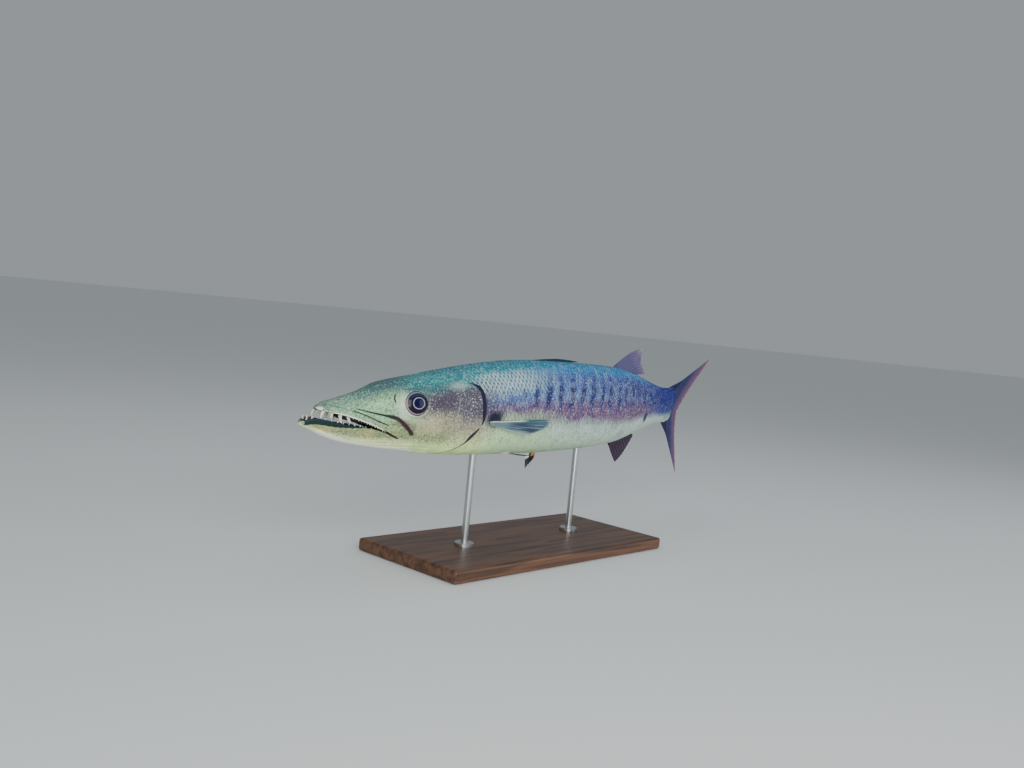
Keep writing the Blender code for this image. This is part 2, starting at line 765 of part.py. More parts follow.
def trunk_and_tail(finishes, home):
    """The trunk in two lengths, each with a hole for its rod, and the tail stalk."""
    lengths = (
        ("trunk_front", HEAD_END, TRUNK_MIDDLE, 9, "front"),
        ("trunk_rear", TRUNK_MIDDLE, TRUNK_END, 10, "rear"),
        ("tail_stalk", TRUNK_END, STALK_END, 11, None),
    )
    for name, start, end, rings, rod in lengths:
        made = body_length(name, start, end, rings, finishes["skin"], home)
        if rod:
            cutter = socket_cutter(f"socket_{rod}", ROD_STATIONS[rod], finishes["skin"], home)
            boolean(made, "DIFFERENCE", [cutter], f"{name}_hole")
            keep_largest(made)


def body_fin(name, plan, outline_column, finishes, home):
    """A fin that grows from the back or the belly's middle line, a gap off it."""
    (first, last), edge, rays, root_half, bow = plan
    off = GAP / PERCENT * (1 if outline_column == BACK else -1)

    def root(u):
        station = first + (last - first) * u
        return station, between(OUTLINE, station, outline_column) + off

    middle_fin(name, root, lambda u: curve_point(edge, u), rays, root_half, finishes["fin"], home, bow)


def tail_fin(finishes, home):
    """The forked tail fin as two lobes that meet along the line to the fork."""
    start = STALK_END + GAP / PERCENT
    for name, lobe, sign in (("upper", CAUDAL_UPPER, 1), ("lower", CAUDAL_LOWER, -1)):
        outer, tip, middle, bow = lobe
        apart = sign * 0.5 * GAP / PERCENT
        fork = (CAUDAL_FORK[0], CAUDAL_FORK[1] + apart)

        def root(u, outer=outer, apart=apart):
            return start, outer + (CAUDAL_SPLIT + apart - outer) * u

        def margin(u, ends=(tip, middle, fork)):
            return curve_point(ends, u)

        middle_fin(
            f"caudal_fin_{name}", root, margin, CAUDAL_RAYS, CAUDAL_ROOT_HALF,
            finishes["fin"], home, bow,
        )


def mixed(pair, u):
    """A value that goes from the first ray's, adding its share of the second number."""
    return pair[0] + pair[1] * u


def pectoral_grid(side):
    """Points of a pectoral fin, laid back along the flank."""
    grid = []
    for v in steps(FIN_ROWS):
        row = []
        for u in steps(2 * PECTORAL_RAYS):
            length = PECTORAL_LENGTH * (1 - PECTORAL_TAPER * u**PECTORAL_TAPER_POWER)
            station = PECTORAL_ROOT + PECTORAL_ROOT_SLANT * u + length * v
            degrees = mixed(PECTORAL_DEGREES, u) + mixed(PECTORAL_DROOP, u) * v**PECTORAL_DROOP_POWER
            lift = GAP + mixed(PECTORAL_LIFT, v)
            row.append(skin(station, math.radians(degrees), lift, side)[0])
        grid.append(row)
    return grid


def folded_spot(u, v, side):
    """A spot of the folded pelvic fin, from ray u and share v of the way out."""
    station, reach = mixed(PELVIC_ROOT, u), mixed(FOLDED_END, u)
    angle = math.radians(mixed(PELVIC_DEGREES, u))
    root = skin(station, angle, PELVIC_CLEAR, side)[0]
    end_angle = math.radians(mixed(FOLDED_DEGREES, u))
    end = skin(reach, end_angle, mixed(FOLDED_LIFT, u), side)[0]
    middle = skin((station + reach) / 2, angle, FOLDED_BULGE, side)[0]
    bulge = middle - (root + end) / 2
    return root.lerp(end, v) + bulge * 4 * v * (1 - v)


def lowered_spot(u, v, side):
    """A spot of the lowered pelvic fin, from ray u and share v of the way out."""
    start, end = mixed(PELVIC_ROOT, u), mixed(LOWERED_END, u)
    degrees = mixed(PELVIC_DEGREES, u)
    degrees += (mixed(LOWERED_DEGREES, u) - degrees) * v
    hug = skin(start + (end - start) * v, math.radians(degrees), mixed(LOWERED_LIFT, v), side)[0]
    return hug - Vector((0, 0, mixed(LOWERED_DROP, u) * v**LOWERED_DROP_POWER))


def pelvic_grid(side):
    """Points of a pelvic fin: the left one folded to the belly, the right one half lowered."""
    spot = folded_spot if side > 0 else lowered_spot
    columns = steps(2 * PELVIC_RAYS)
    return [[spot(u, v, side) for u in columns] for v in steps(FIN_ROWS)]


def fins(finishes, home):
    """All fins, each a thin plate with raised rays."""
    body_fin("dorsal_fin_first", FIRST_DORSAL, BACK, finishes, home)
    body_fin("dorsal_fin_second", SECOND_DORSAL, BACK, finishes, home)
    body_fin("anal_fin", ANAL, BELLY, finishes, home)
    tail_fin(finishes, home)
    for side, word in SIDES:
        finish = finishes["fin"]
        fin(f"pectoral_fin_{word}", pectoral_grid(side), PECTORAL_ROOT_HALF, finish, home)
        fin(f"pelvic_fin_{word}", pelvic_grid(side), PELVIC_ROOT_HALF, finish, home)


def stand(finishes, home):
    """A wooden base with eased edges, and two turned rods with flat feet."""
    bpy.ops.mesh.primitive_cube_add(size=1, location=(0, 0, BASE_SIZE[2] / 2))
    base = bpy.context.object
    base.name = base.data.name = "stand_base"
    base.data.transform(Matrix.Diagonal((*BASE_SIZE, 1)))
    base.data.materials.append(finishes["wood"])
    ease_edges = base.modifiers.new("eased edges", "BEVEL")
    ease_edges.width = BASE_BEVEL
    ease_edges.segments = BASE_BEVEL_STEPS
    for old in list(base.users_collection):
        old.objects.unlink(base)
    home.objects.link(base)
    for word, station in ROD_STATIONS.items():
        x, y, top = rod_top(station)
        foot = BASE_SIZE[2] + GAP
        profile = (
            (0.0, top),
            (ROD_RADIUS - ROD_EDGE, top),
            (ROD_RADIUS, top - ROD_EDGE),
            (ROD_RADIUS, foot + FOOT_HEIGHT),
            (FOOT_RADIUS - ROD_EDGE, foot + FOOT_HEIGHT),
            (FOOT_RADIUS, foot + FOOT_HEIGHT - ROD_EDGE),
            (FOOT_RADIUS, foot),
            (0.0, foot),
        )
        mesh = bpy.data.meshes.new(f"stand_rod_{word}")
        links = [(i, i + 1) for i in range(len(profile) - 1)]
        mesh.from_pydata([(r, 0, z) for r, z in profile], links, [])
        rod = bpy.data.objects.new(f"stand_rod_{word}", mesh)
        rod.location = (x, y, 0)
        rod.data.materials.append(finishes["steel"])
        home.objects.link(rod)
        turned = rod.modifiers.new("turned", "SCREW")
        turned.steps = turned.render_steps = ROD_SIDES
        turned.use_merge_vertices = True
        turned.merge_threshold = WELD


def main():
    """Clears the scene and builds the fish and its stand."""
    for old in list(bpy.data.objects):
        bpy.data.objects.remove(old)
    home = bpy.data.collections.new("barracuda")
    bpy.context.scene.collection.children.link(home)
    finishes = {
        "skin": material("silver scaled skin", (0.46, 0.56, 0.52), 0.35),
        "fin": material("dusky fin membrane", (0.07, 0.09, 0.14), 0.45),
        "tooth": material("tooth enamel", (0.80, 0.78, 0.68), 0.25),
        "eye": material("glass eye", (0.02, 0.03, 0.07), 0.08),
        "wood": material("oiled walnut", (0.16, 0.09, 0.05), 0.45),
        "steel": material("brushed steel", (0.60, 0.60, 0.60), 0.30, 1.0),
    }
    head(finishes, home)
    lower_jaw(finishes, home)
    for side, word in SIDES:
        eye(f"eye_{word}", side, 0.0, finishes["eye"], home)
        gill_cover(f"gill_cover_{word}", side, finishes["skin"], home)
    trunk_and_tail(finishes, home)
    fins(finishes, home)
    stand(finishes, home)


main()
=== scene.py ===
"""Looks of a life-size great barracuda, a still museum model held by two rods over a wooden base.

Places on the fish are given as a station along the body, an angle round it from the middle of the
back (positive towards the fish's left) and a height above the body's axis. Stations and heights
are in percent of the standard length, which runs from the upper jaw's tip to the tail fin's root.
"""

import logging
import math
from dataclasses import dataclass
from enum import Enum
from typing import Callable, Sequence

import bmesh
import bpy
import numpy as np
from mathutils import Matrix, Vector


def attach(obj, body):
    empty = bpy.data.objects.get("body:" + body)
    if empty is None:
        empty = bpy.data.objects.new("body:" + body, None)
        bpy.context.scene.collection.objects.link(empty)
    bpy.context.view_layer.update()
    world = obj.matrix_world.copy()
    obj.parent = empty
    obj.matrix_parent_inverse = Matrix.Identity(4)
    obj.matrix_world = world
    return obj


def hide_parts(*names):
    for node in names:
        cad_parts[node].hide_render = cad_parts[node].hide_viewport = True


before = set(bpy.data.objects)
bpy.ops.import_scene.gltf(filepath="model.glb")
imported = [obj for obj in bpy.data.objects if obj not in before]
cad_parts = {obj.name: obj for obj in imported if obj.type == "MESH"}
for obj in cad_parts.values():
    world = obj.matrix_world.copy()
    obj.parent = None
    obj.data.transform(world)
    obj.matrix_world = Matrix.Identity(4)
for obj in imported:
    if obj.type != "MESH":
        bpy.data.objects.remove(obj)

LOG = logging.getLogger("barracuda")
BODY = "root"
MM = 0.001
Array = np.ndarray
Table = Sequence[Sequence[float]]
Piece = bpy.types.Object
Finish = bpy.types.Material
Tree = bpy.types.NodeTree
Node = bpy.types.Node
Socket = bpy.types.NodeSocket
Blade = Callable[[Array, Array], Array]


class Choice(Enum):
    """A choice whose name, in small letters, is part of a piece's name."""

    @property
    def word(self) -> str:
        """The choice's name as a piece's name has it."""
        return self.name.lower()


class Side(Choice):
    """A side of the fish: its left faces -Y, which is towards the camera."""

    LEFT = 1
    RIGHT = -1


class Jaw(Choice):
    """Which jaw a sheet of skin, a lining or a row of teeth belongs to, and where teeth point."""

    UPPER = -1
    LOWER = 1


def between(table: Table, station: Array, column: int = 1) -> Array:
    """Reads one column of a table smoothly: a cubic with slopes from the neighbouring rows.

    Args:
        table: Rows that start with a station, in rising order.
        station: Where to read it.
        column: Which column to read.

    Returns:
        The values, of the station's shape.
    """
    rows = np.asarray(table, float)
    x, y = rows[:, 0], rows[:, column]
    ahead, behind = np.r_[1 : len(x), len(x) - 1], np.r_[0, 0 : len(x) - 1]
    slope = (y[ahead] - y[behind]) / (x[ahead] - x[behind])
    s = np.clip(np.asarray(station, float), x[0], x[-1])
    i = np.clip(np.searchsorted(x, s, side="right") - 1, 0, len(x) - 2)
    span = x[i + 1] - x[i]
    t = (s - x[i]) / span
    return (
        (2 * t**3 - 3 * t**2 + 1) * y[i]
        + (t**3 - 2 * t**2 + t) * span * slope[i]
        + (3 * t**2 - 2 * t**3) * y[i + 1]
        + (t**3 - t**2) * span * slope[i + 1]
    )


def ease(t: Array) -> Array:
    """Smooth step from 0 to 1."""
    t = np.clip(t, 0.0, 1.0)
    return t * t * (3 - 2 * t)


def bump(distance: Array, width: float) -> Array:
    """A soft hill of height 1 at distance 0."""
    return np.exp(-((distance / width) ** 2))


def folded(angle: Array) -> Array:
    """Angle measured from the back down either side, whichever way it was counted."""
    return np.abs((np.asarray(angle) + math.pi) % (2 * math.pi) - math.pi)


def path_gap(path: Table, station: Array, height: Array) -> Array:
    """Shortest way from spots to a broken line, all in percent.

    Args:
        path: Corners of the line as station and height.
        station: Stations of the spots.
        height: Heights of the spots.

    Returns:
        The distances, of the spots' shape.
    """
    gap = np.full(np.shape(station), 1e9)
    for (s0, z0), (s1, z1) in zip(path, path[1:]):
        ds, dz = s1 - s0, z1 - z0
        t = np.clip(((station - s0) * ds + (height - z0) * dz) / (ds * ds + dz * dz), 0, 1)
        gap = np.minimum(gap, np.hypot(station - s0 - t * ds, height - z0 - t * dz))
    return gap


def smooth_path(path: Table, count: int = 24) -> list[tuple[float, float]]:
    """A broken line's corners rounded by the smooth table reader."""
    stations = np.linspace(path[0][0], path[-1][0], count)
    return list(zip(stations.tolist(), between(path, stations).tolist()))


@dataclass(frozen=True)
class BodyForm:
    """The fish's outer form and pose, from the same named sizes as its solids."""

    standard_length: float = 0.85
    axis_height: float = 0.215
    station_over_base: float = 47.0
    bend_start: float = 45.0
    tail_turn: float = math.radians(13)
    twist_start: float = 78.0
    tail_twist: float = math.radians(10)
    fullness: float = 2.25
    stalk_end: float = 98.6
    mouth_corner: float = 13.2
    jaw_hinge: float = 16.8
    snout_rounding: float = 1.6
    snout_tip_height: float = 0.15
    chin_tip: float = -2.4
    chin_rounding: float = 3.45
    outline: Table = (
        (-2.4, -1.6, -2.3, 1.2), (0.0, 0.45, -3.35, 1.5), (4.0, 1.84, -4.75, 2.15),
        (8.0, 2.95, -5.5, 2.75), (10.5, 3.9, -5.82, 3.16), (12.0, 4.3, -6.0, 3.4),
        (16.0, 5.02, -6.4, 3.95), (21.0, 5.76, -7.0, 4.5), (27.0, 6.72, -7.45, 5.0),
        (33.0, 7.55, -7.6, 5.4), (40.0, 8.25, -7.65, 5.7), (48.0, 8.5, -7.7, 5.75),
        (57.0, 8.4, -7.5, 5.45), (66.0, 8.15, -7.15, 4.9), (73.0, 7.7, -6.5, 4.2),
        (80.0, 6.45, -5.2, 3.3), (86.0, 5.1, -4.25, 2.5), (92.0, 4.0, -3.65, 1.9),
        (97.0, 3.8, -3.75, 1.3), (100.0, 4.0, -4.0, 0.9),
    )
    upper_lip: Table = (
        (0.0, -0.1), (1.9, -0.4), (4.5, -0.9), (7.3, -1.7), (8.8, -2.2), (11.1, -3.1),
        (13.2, -4.1), (16.8, -5.3),
    )
    lower_lip: Table = (
        (-2.4, -1.9), (-1.6, -1.5), (-0.5, -1.32), (1.0, -1.45), (3.0, -1.85), (5.4, -2.25),
        (7.4, -2.5), (9.0, -2.75), (11.1, -3.35), (13.2, -4.1), (16.8, -5.4),
    )

    @property
    def percent(self) -> float:
        """One percent of the standard length, in metres."""
        return self.standard_length / 100

    def back(self, station: Array) -> Array:
        """Height of the back's middle line."""
        return between(self.outline, station, 1)

    def belly(self, station: Array) -> Array:
        """Height of the belly's middle line."""
        return between(self.outline, station, 2)

    def lip(self, jaw: Jaw) -> Table:
        """Stations and heights of a jaw's lip."""
        return self.upper_lip if jaw is Jaw.UPPER else self.lower_lip

    def rounding(self, station: Array, jaw: Jaw) -> Array:
        """Share of the width that is left near the snout's or the chin's rounded tip.

        Args:
            station: In percent.
            jaw: Which jaw.

        Returns:
            Shares from 0 to 1.
        """
        start, length, least = self.snout_rounding, self.snout_rounding, 0.0
        if jaw is Jaw.LOWER:
            start, length, least = self.chin_tip + self.chin_rounding, self.chin_rounding, 0.02
        reach = np.maximum(start - station, 0) / length
        return np.sqrt(np.maximum(1 - reach**2, least))

    def section(self, station: Array, angle: Array) -> tuple[Array, Array]:
        """Distance to the left and height of the skin at an angle round the body, in percent.

        Args:
            station: In percent.
            angle: In radians.

        Returns:
            Distances to the left and heights.
        """
        top, low = self.back(station), self.belly(station)
        power = 2 / self.fullness
        across = np.sign(np.sin(angle)) * np.abs(np.sin(angle)) ** power
        up = np.sign(np.cos(angle)) * np.abs(np.cos(angle)) ** power
        half_width = between(self.outline, station, 3)
        return across * half_width, (top + low) / 2 + (top - low) / 2 * up

    def angle_at(self, station: Array, height: Array) -> Array:
        """The angle on the left side at which the skin passes a height."""
        top, low = self.back(station), self.belly(station)
        share = np.clip((height - (top + low) / 2) / ((top - low) / 2), -0.999, 0.999)
        return np.arccos(np.sign(share) * np.abs(share) ** (self.fullness / 2))

    def place(self, station: Array, across: Array, height: Array) -> Array:
        """World points of stations, distances to the fish's left and heights.

        Args:
            station: Percent along the body.
            across: Percent to the fish's left of the middle plane.
            height: Percent above the body's axis.

        Returns:
            Points in metres, with x, y and z on the last axis.
        """
        station, across, height = np.broadcast_arrays(station, across, height)
        beyond = np.maximum(station - self.bend_start, 0) * self.percent
        curve = self.tail_turn / ((100 - self.bend_start) * self.percent)
        turn = curve * beyond
        ahead = np.minimum(station, self.bend_start) - self.station_over_base
        x = ahead * self.percent + np.sin(turn) / curve
        y = (1 - np.cos(turn)) / curve
        roll = self.tail_twist * ease((station - self.twist_start) / (100 - self.twist_start))
        left = (across * np.cos(roll) + height * np.sin(roll)) * self.percent
        up = (height * np.cos(roll) - across * np.sin(roll)) * self.percent
        sides = (x + left * np.sin(turn), y - left * np.cos(turn), self.axis_height + up)
        return np.stack(sides, axis=-1)

    def skin(self, station: Array, angle: Array, lift: Array = 0.0) -> Array:
        """World points on the body's surface, lifted off it by metres."""
        station, angle = np.broadcast_arrays(station, angle)
        points = self.place(station, *self.section(station, angle))
        return points + self.normal(station, angle) * np.asarray(lift)[..., None]

    def normal(self, station: Array, angle: Array) -> Array:
        """Outward directions of the body's surface.

        Args:
            station: In percent.
            angle: In radians.

        Returns:
            Directions of length 1.
        """
        ds, da = 0.4, 0.03
        along = self.place(station + ds, *self.section(station + ds, angle))
        along = along - self.place(station - ds, *self.section(station - ds, angle))
        around = self.place(station, *self.section(station, angle + da))
        around = around - self.place(station, *self.section(station, angle - da))
        out = np.cross(around, along)
        return out / np.maximum(np.linalg.norm(out, axis=-1, keepdims=True), 1e-12)


FORM = BodyForm()


def linear(hex_colour: str) -> tuple[float, float, float, float]:
    """Turns an sRGB hex colour to linear light, with full alpha."""
    parts = [int(hex_colour[i : i + 2], 16) / 255 for i in (1, 3, 5)]
    light = [p / 12.92 if p <= 0.04045 else ((p + 0.055) / 1.055) ** 2.4 for p in parts]
    return (*light, 1.0)


def node(tree: Tree, kind: str, inputs: dict | None = None, **settings: object) -> Node:
    """Adds a node to a tree.

    Args:
        tree: The node tree.
        kind: The shader node's type name without its prefix.
        inputs: Socket name or number to a value, a hex colour or another node's output socket.
        settings: Properties of the node itself.

    Returns:
        The new node.
    """
    made = tree.nodes.new(f"ShaderNode{kind}")
    for name, value in settings.items():
        setattr(made, name, value)
    for socket, value in (inputs or {}).items():
        port = made.inputs[socket]
        if isinstance(value, Socket):
            tree.links.new(value, port)
        else:
            port.default_value = linear(value) if isinstance(value, str) else value
    return made


def set_stops(ramp: Node, stops: Sequence[tuple[float, str]]) -> None:
    """Gives a colour ramp its stops: places from 0 to 1 and their hex colours.

    Args:
        ramp: The colour ramp's node.
        stops: Places and hex colours.
    """
    elements = ramp.color_ramp.elements
    while len(elements) < len(stops):
        elements.new(0.5)
    for element, (spot, colour) in zip(elements, stops):
        element.position = spot
        element.color = linear(colour)


@dataclass(frozen=True)
class Layer:
    """A colour laid over the ones before it, where all its spans hold.

    Attributes:
        colour: The hex colour.
        strength: How much of the colour below it covers.
        spans: Names of values, each with where the value counts nothing and where it counts fully.
    """

    colour: str
    strength: float
    spans: tuple = ()


def lay(tree: Tree, under: object, over: object, strength: float, spans: tuple,
        values: dict) -> Socket:
    """Lays one colour over another where all the spans hold.

    Args:
        tree: The node tree.
        under: The colour below, as a socket or a hex colour.
        over: The colour on top, as a socket or a hex colour.
        strength: How much of the top colour shows at most.
        spans: Names of values, each with where it counts nothing and where it counts fully.
        values: The sockets of the named values.

    Returns:
        The colour of both together.
    """
    share = strength
    for name, start, full in spans:
        part = node(tree, "MapRange",
                    {"Value": values[name], "From Min": start, "From Max": full},
                    interpolation_type="SMOOTHSTEP")
        share = node(tree, "Math", {0: share, 1: part.outputs["Result"]},
                     operation="MULTIPLY").outputs[0]
    both = node(tree, "Mix", {0: share, 6: under, 7: over}, data_type="RGBA")
    return both.outputs[2]


def lay_all(tree: Tree, colour: object, layers: Sequence[Layer], values: dict) -> Socket:
    """Lays several layers over a colour, the first one lowest."""
    for layer in layers:
        colour = lay(tree, colour, layer.colour, layer.strength, layer.spans, values)
    return colour


def read_maps(tree: Tree, maps: Sequence[tuple[str, str, str]]) -> dict:
    """Sockets of the two numbers stored in each UV map, under the names given for them.

    Args:
        tree: The node tree.
        maps: Each map's name and the names of its two numbers.

    Returns:
        The sockets by name.
    """
    values = {}
    for name, first, second in maps:
        spot = node(tree, "UVMap", uv_map=name).outputs["UV"]
        parts = node(tree, "SeparateXYZ", {0: spot})
        values[first], values[second] = parts.outputs[0], parts.outputs[1]
    return values


def empty_finish(name: str) -> tuple[Finish, Tree, Node]:
    """A new material with its node tree and its Principled shader."""
    made = bpy.data.materials.new(name)
    made.use_nodes = True
    return made, made.node_tree, made.node_tree.nodes["Principled BSDF"]


def finish_with(tree: Tree, shader: Node, links: dict, **numbers: float) -> None:
    """Fills a shader: links by socket name, and numbers by socket name with _ for a space.

    Args:
        tree: The node tree.
        shader: The Principled shader.
        links: Sockets to link, by name.
        numbers: Plain values.
    """
    for name, socket in links.items():
        tree.links.new(socket, shader.inputs[name])
    for name, number in numbers.items():
        shader.inputs[name.replace("_", " ")].default_value = number


def add_mesh(name: str, points: Array, faces: Array) -> Piece:
    """Makes a mesh object from arrays of points and of faces with equal corners.

    Args:
        name: The name it gets.
        points: Places of the points.
        faces: Point numbers of each face.

    Returns:
        The object.
    """
    mesh = bpy.data.meshes.new(name)
    faces = np.asarray(faces)
    count, corners = faces.shape
    mesh.vertices.add(len(points))
    mesh.vertices.foreach_set("co", np.asarray(points, float).ravel())
    mesh.loops.add(count * corners)
    mesh.loops.foreach_set("vertex_index", faces.ravel().astype(np.int32))
    mesh.polygons.add(count)
    mesh.polygons.foreach_set("loop_start", np.arange(0, count * corners, corners, dtype=np.int32))
    mesh.update(calc_edges=True)
    mesh.validate()
    made = bpy.data.objects.new(name, mesh)
    bpy.context.scene.collection.objects.link(made)
    return made


def only(*pieces: Piece) -> None:
    """Selects just these objects, the first one active.

    Args:
        pieces: The objects.
    """
    bpy.ops.object.select_all(action="DESELECT")
    for piece in pieces:
        piece.select_set(True)
    bpy.context.view_layer.objects.active = pieces[0]


def close_up(piece: Piece, gap: float = 1e-6, fill: bool = False) -> None:
    """Welds points that share a place and turns the faces outwards.

    Args:
        piece: The mesh object.
        gap: Largest distance between points that are welded, in metres.
        fill: Whether an open border is closed with a face.
    """
    only(piece)
    bpy.ops.object.mode_set(mode="EDIT")
    bpy.ops.mesh.select_all(action="SELECT")
    bpy.ops.mesh.remove_doubles(threshold=gap)
    if fill:
        bpy.ops.mesh.select_all(action="DESELECT")
        bpy.ops.mesh.select_non_manifold(extend=False, use_wire=False)
        bpy.ops.mesh.edge_face_add()
        bpy.ops.mesh.select_all(action="SELECT")
    bpy.ops.mesh.normals_make_consistent(inside=False)
    if bmesh.from_edit_mesh(piece.data).calc_volume(signed=True) < 0:
        bpy.ops.mesh.flip_normals()
    bpy.ops.object.mode_set(mode="OBJECT")


def hand_over(piece: Piece, slot: str, *nodes: str) -> Piece:
    """Puts a finished piece on the fish's body.

    Args:
        piece: The piece.
        slot: The material slot it belongs to; not used.
        nodes: CAD nodes that it stands for.

    Returns:
        The same piece.
    """
    if nodes:
        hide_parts(*nodes)
    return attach(piece, BODY)


def write_map(piece: Piece, name: str, values: Array) -> None:
    """Stores two numbers for each vertex in a UV map.

    Args:
        piece: The mesh object.
        name: The map's name.
        values: One row of two numbers for each vertex.
    """
    mesh = piece.data
    corners = np.empty(len(mesh.loops), np.int32)
    mesh.loops.foreach_get("vertex_index", corners)
    layer = mesh.uv_layers.get(name) or mesh.uv_layers.new(name=name)
    layer.data.foreach_set("uv", np.asarray(values, np.float32)[corners].ravel())


def grid_faces(rows: int, columns: int, start: int = 0) -> Array:
    """Four-cornered faces of a grid whose points are stored row by row."""
    i, j = np.meshgrid(np.arange(rows - 1), np.arange(columns - 1), indexing="ij")
    a = (start + i * columns + j).ravel()
    return np.stack((a, a + 1, a + columns + 1, a + columns), axis=1)


def shaped_grid(name: str, points: Array) -> Piece:
    """Adds a grid primitive and moves its points to a grid of places.

    Args:
        name: The object's name.
        points: Places as rows, columns and x, y, z.

    Returns:
        The sheet.
    """
    rows, columns = points.shape[:2]
    bpy.ops.object.select_all(action="DESELECT")
    bpy.ops.mesh.primitive_grid_add(x_subdivisions=columns - 1, y_subdivisions=rows - 1, size=1)
    sheet = bpy.context.object
    sheet.name = sheet.data.name = name
    sheet.data.vertices.foreach_set("co", points.reshape(-1, 3).ravel())
    sheet.data.update()
    return sheet


@dataclass(frozen=True)
class Relief:
    """Folds, rims, plates and hollows of the head, as heights over the plain body in metres."""

    eye_station: float = 16.15
    eye_height: float = 1.25
    eye_half_length: float = 18.4 * MM
    eye_half_height: float = 15.5 * MM
    rim_rise: float = 1.5 * MM
    socket_depth: float = 8.0 * MM
    crease_depth: float = 1.5 * MM
    crease_width: float = 0.20
    cover_rise: float = 2.9 * MM
    bone_rise: float = 1.3 * MM
    snout_dip: float = 1.7 * MM
    throat_groove: float = 1.4 * MM
    maxilla_top: Table = (
        (6.0, 0.25), (8.6, -0.3), (11.4, -0.8), (12.9, -1.15), (14.4, -2.2), (15.9, -3.5),
    )
    maxilla_low: Table = ((5.6, -0.1), (7.9, -0.85), (9.6, -1.55), (11.4, -2.15))
    corner_fold: Table = ((11.0, -3.05), (12.2, -3.65), (13.6, -4.25))
    lip_groove: Table = ((0.9, 0.78), (1.9, 0.74), (3.3, 0.5), (4.7, 0.05), (5.8, -0.1))
    nostril_slit: Table = ((12.5, 2.35), (12.3, 1.9), (12.45, 1.4))
    nostril_fore: Table = ((11.5, 1.95), (11.55, 1.85))
    jaw_line: Table = (
        (0.5, -3.3), (2.0, -3.9), (5.0, -4.75), (9.5, -5.45), (14.0, -5.95), (19.0, -6.55),
    )
    preopercle: Table = ((49, 24.4), (67, 24.7), (86, 24.5), (101, 24.1), (119, 23.3), (150, 20.8))
    cover_front: Table = (
        (49, 24.5), (67, 24.7), (86, 24.5), (101, 24.1), (119, 22.9), (138, 21.3), (150, 20.0),
        (172, 18.4), (180, 18.0),
    )
    cover_rear: Table = (
        (0, 25.6), (30, 26.0), (42, 26.5), (49, 27.2), (55, 28.4), (63, 29.1), (76, 29.5),
        (89, 29.6), (97, 29.4), (109, 28.4), (124, 27.0), (138, 25.4), (150, 23.9), (165, 21.4),
        (172, 20.4), (180, 19.9),
    )

    def edge_station(self, angle: Array) -> Array:
        """Station of the gill cover's rear edge at an angle round the body."""
        return between(self.cover_rear, np.degrees(np.abs(angle)))

    def edge_share(self, angle: Array) -> Array:
        """How far the gill cover stands free at an angle: 0 on the nape, 1 on the cheek."""
        degrees = np.degrees(np.abs(angle))
        return ease((degrees - 44) / 9) * (1 - 0.55 * ease((degrees - 140) / 35))

    def eye_share(self, station: Array, angle: Array) -> Array:
        """Distance from the eye's middle as a share of the opening's radius.

        Args:
            station: In percent.
            angle: In radians.

        Returns:
            Shares, 1 on the opening's rim.
        """
        across, height = FORM.section(station, angle)
        ds = (station - self.eye_station) * FORM.percent
        reach = FORM.angle_at(np.asarray(self.eye_station), np.asarray(self.eye_height))
        centre = FORM.section(np.asarray(self.eye_station), reach)
        dz = np.hypot(height - centre[1], np.abs(across) - centre[0]) * FORM.percent
        far = np.hypot(ds / self.eye_half_length, dz / self.eye_half_height)
        return np.where(np.abs(across) < 1.2, 9.0, far)

    def eye_rim(self, station: Array, angle: Array) -> Array:
        """The socket and the raised rim of skin round the eye."""
        share = self.eye_share(station, angle)
        rim = self.rim_rise * bump(share - 1.09, 0.13) - 0.5 * MM * bump(share - 1.36, 0.12)
        return rim - self.socket_depth * ease((1.0 - share) / 0.22)

    def creases(self, station: Array, height: Array, spread: float = 1.0) -> Array:
        """How deep a spot lies in the folds by the jaw and the nostrils, from 0 to 1.

        Args:
            station: In percent.
            height: In percent.
            spread: How much wider the long fold grows behind the mouth.

        Returns:
            Depths from 0 to 1.
        """
        width = self.crease_width
        wider = width * (0.75 + (spread - 0.75) * ease((station - 10.2) / 2.5))
        top = bump(path_gap(smooth_path(self.maxilla_top), station, height), wider)
        taper = 0.55 + 0.45 * ease((station - 6.0) / 5)
        low = 0.75 * bump(path_gap(self.maxilla_low, station, height), 0.6 * width)
        corner = 0.9 * bump(path_gap(self.corner_fold, station, height), 0.8 * width)
        slit = bump(path_gap(self.nostril_slit, station, height), 0.13)
        fore = 0.8 * bump(path_gap(self.nostril_fore, station, height), 0.13)
        groove = 0.36 * bump(path_gap(self.lip_groove, station, height), 0.16)
        return np.maximum.reduce((top * taper, low, corner, slit, fore, groove))

    def jaw_plates(self, station: Array, height: Array) -> Array:
        """The upper-jaw bone under its fold, the swollen lips and the lower jaw's ridge.

        Args:
            station: In percent.
            height: In percent.

        Returns:
            Heights, in metres.
        """
        below = between(self.maxilla_top, station) - height
        window = ease((station - 5.6) / 1.5) * ease((16.2 - station) / 1.2)
        bone = self.bone_rise * ease(below / 0.18) * np.exp(-np.maximum(below, 0) / 1.3) * window
        keel = 0.5 * MM * bump(path_gap(self.jaw_line, station, height), 0.3)
        slit_rim = 0.5 * MM * bump(path_gap(self.nostril_slit, station, height) - 0.32, 0.14)
        return bone + keel + slit_rim

    def crown(self, station: Array, angle: Array) -> Array:
        """The flat crown between the eyes with a low ridge down each side, and the snout's dip.

        Args:
            station: In percent.
            angle: In radians.

        Returns:
            Heights, in metres.
        """
        degrees = np.degrees(folded(angle))
        window = ease((station - 4) / 6) * ease((25 - station) / 7)
        ridges = 0.7 * MM * bump(degrees - 34, 6) + 0.35 * MM * bump(degrees - 13, 5)
        dip = self.snout_dip * bump(station - 5.2, 3.4) * ease((75 - degrees) / 50)
        return window * (ridges - 0.9 * MM * bump(degrees, 20)) - dip

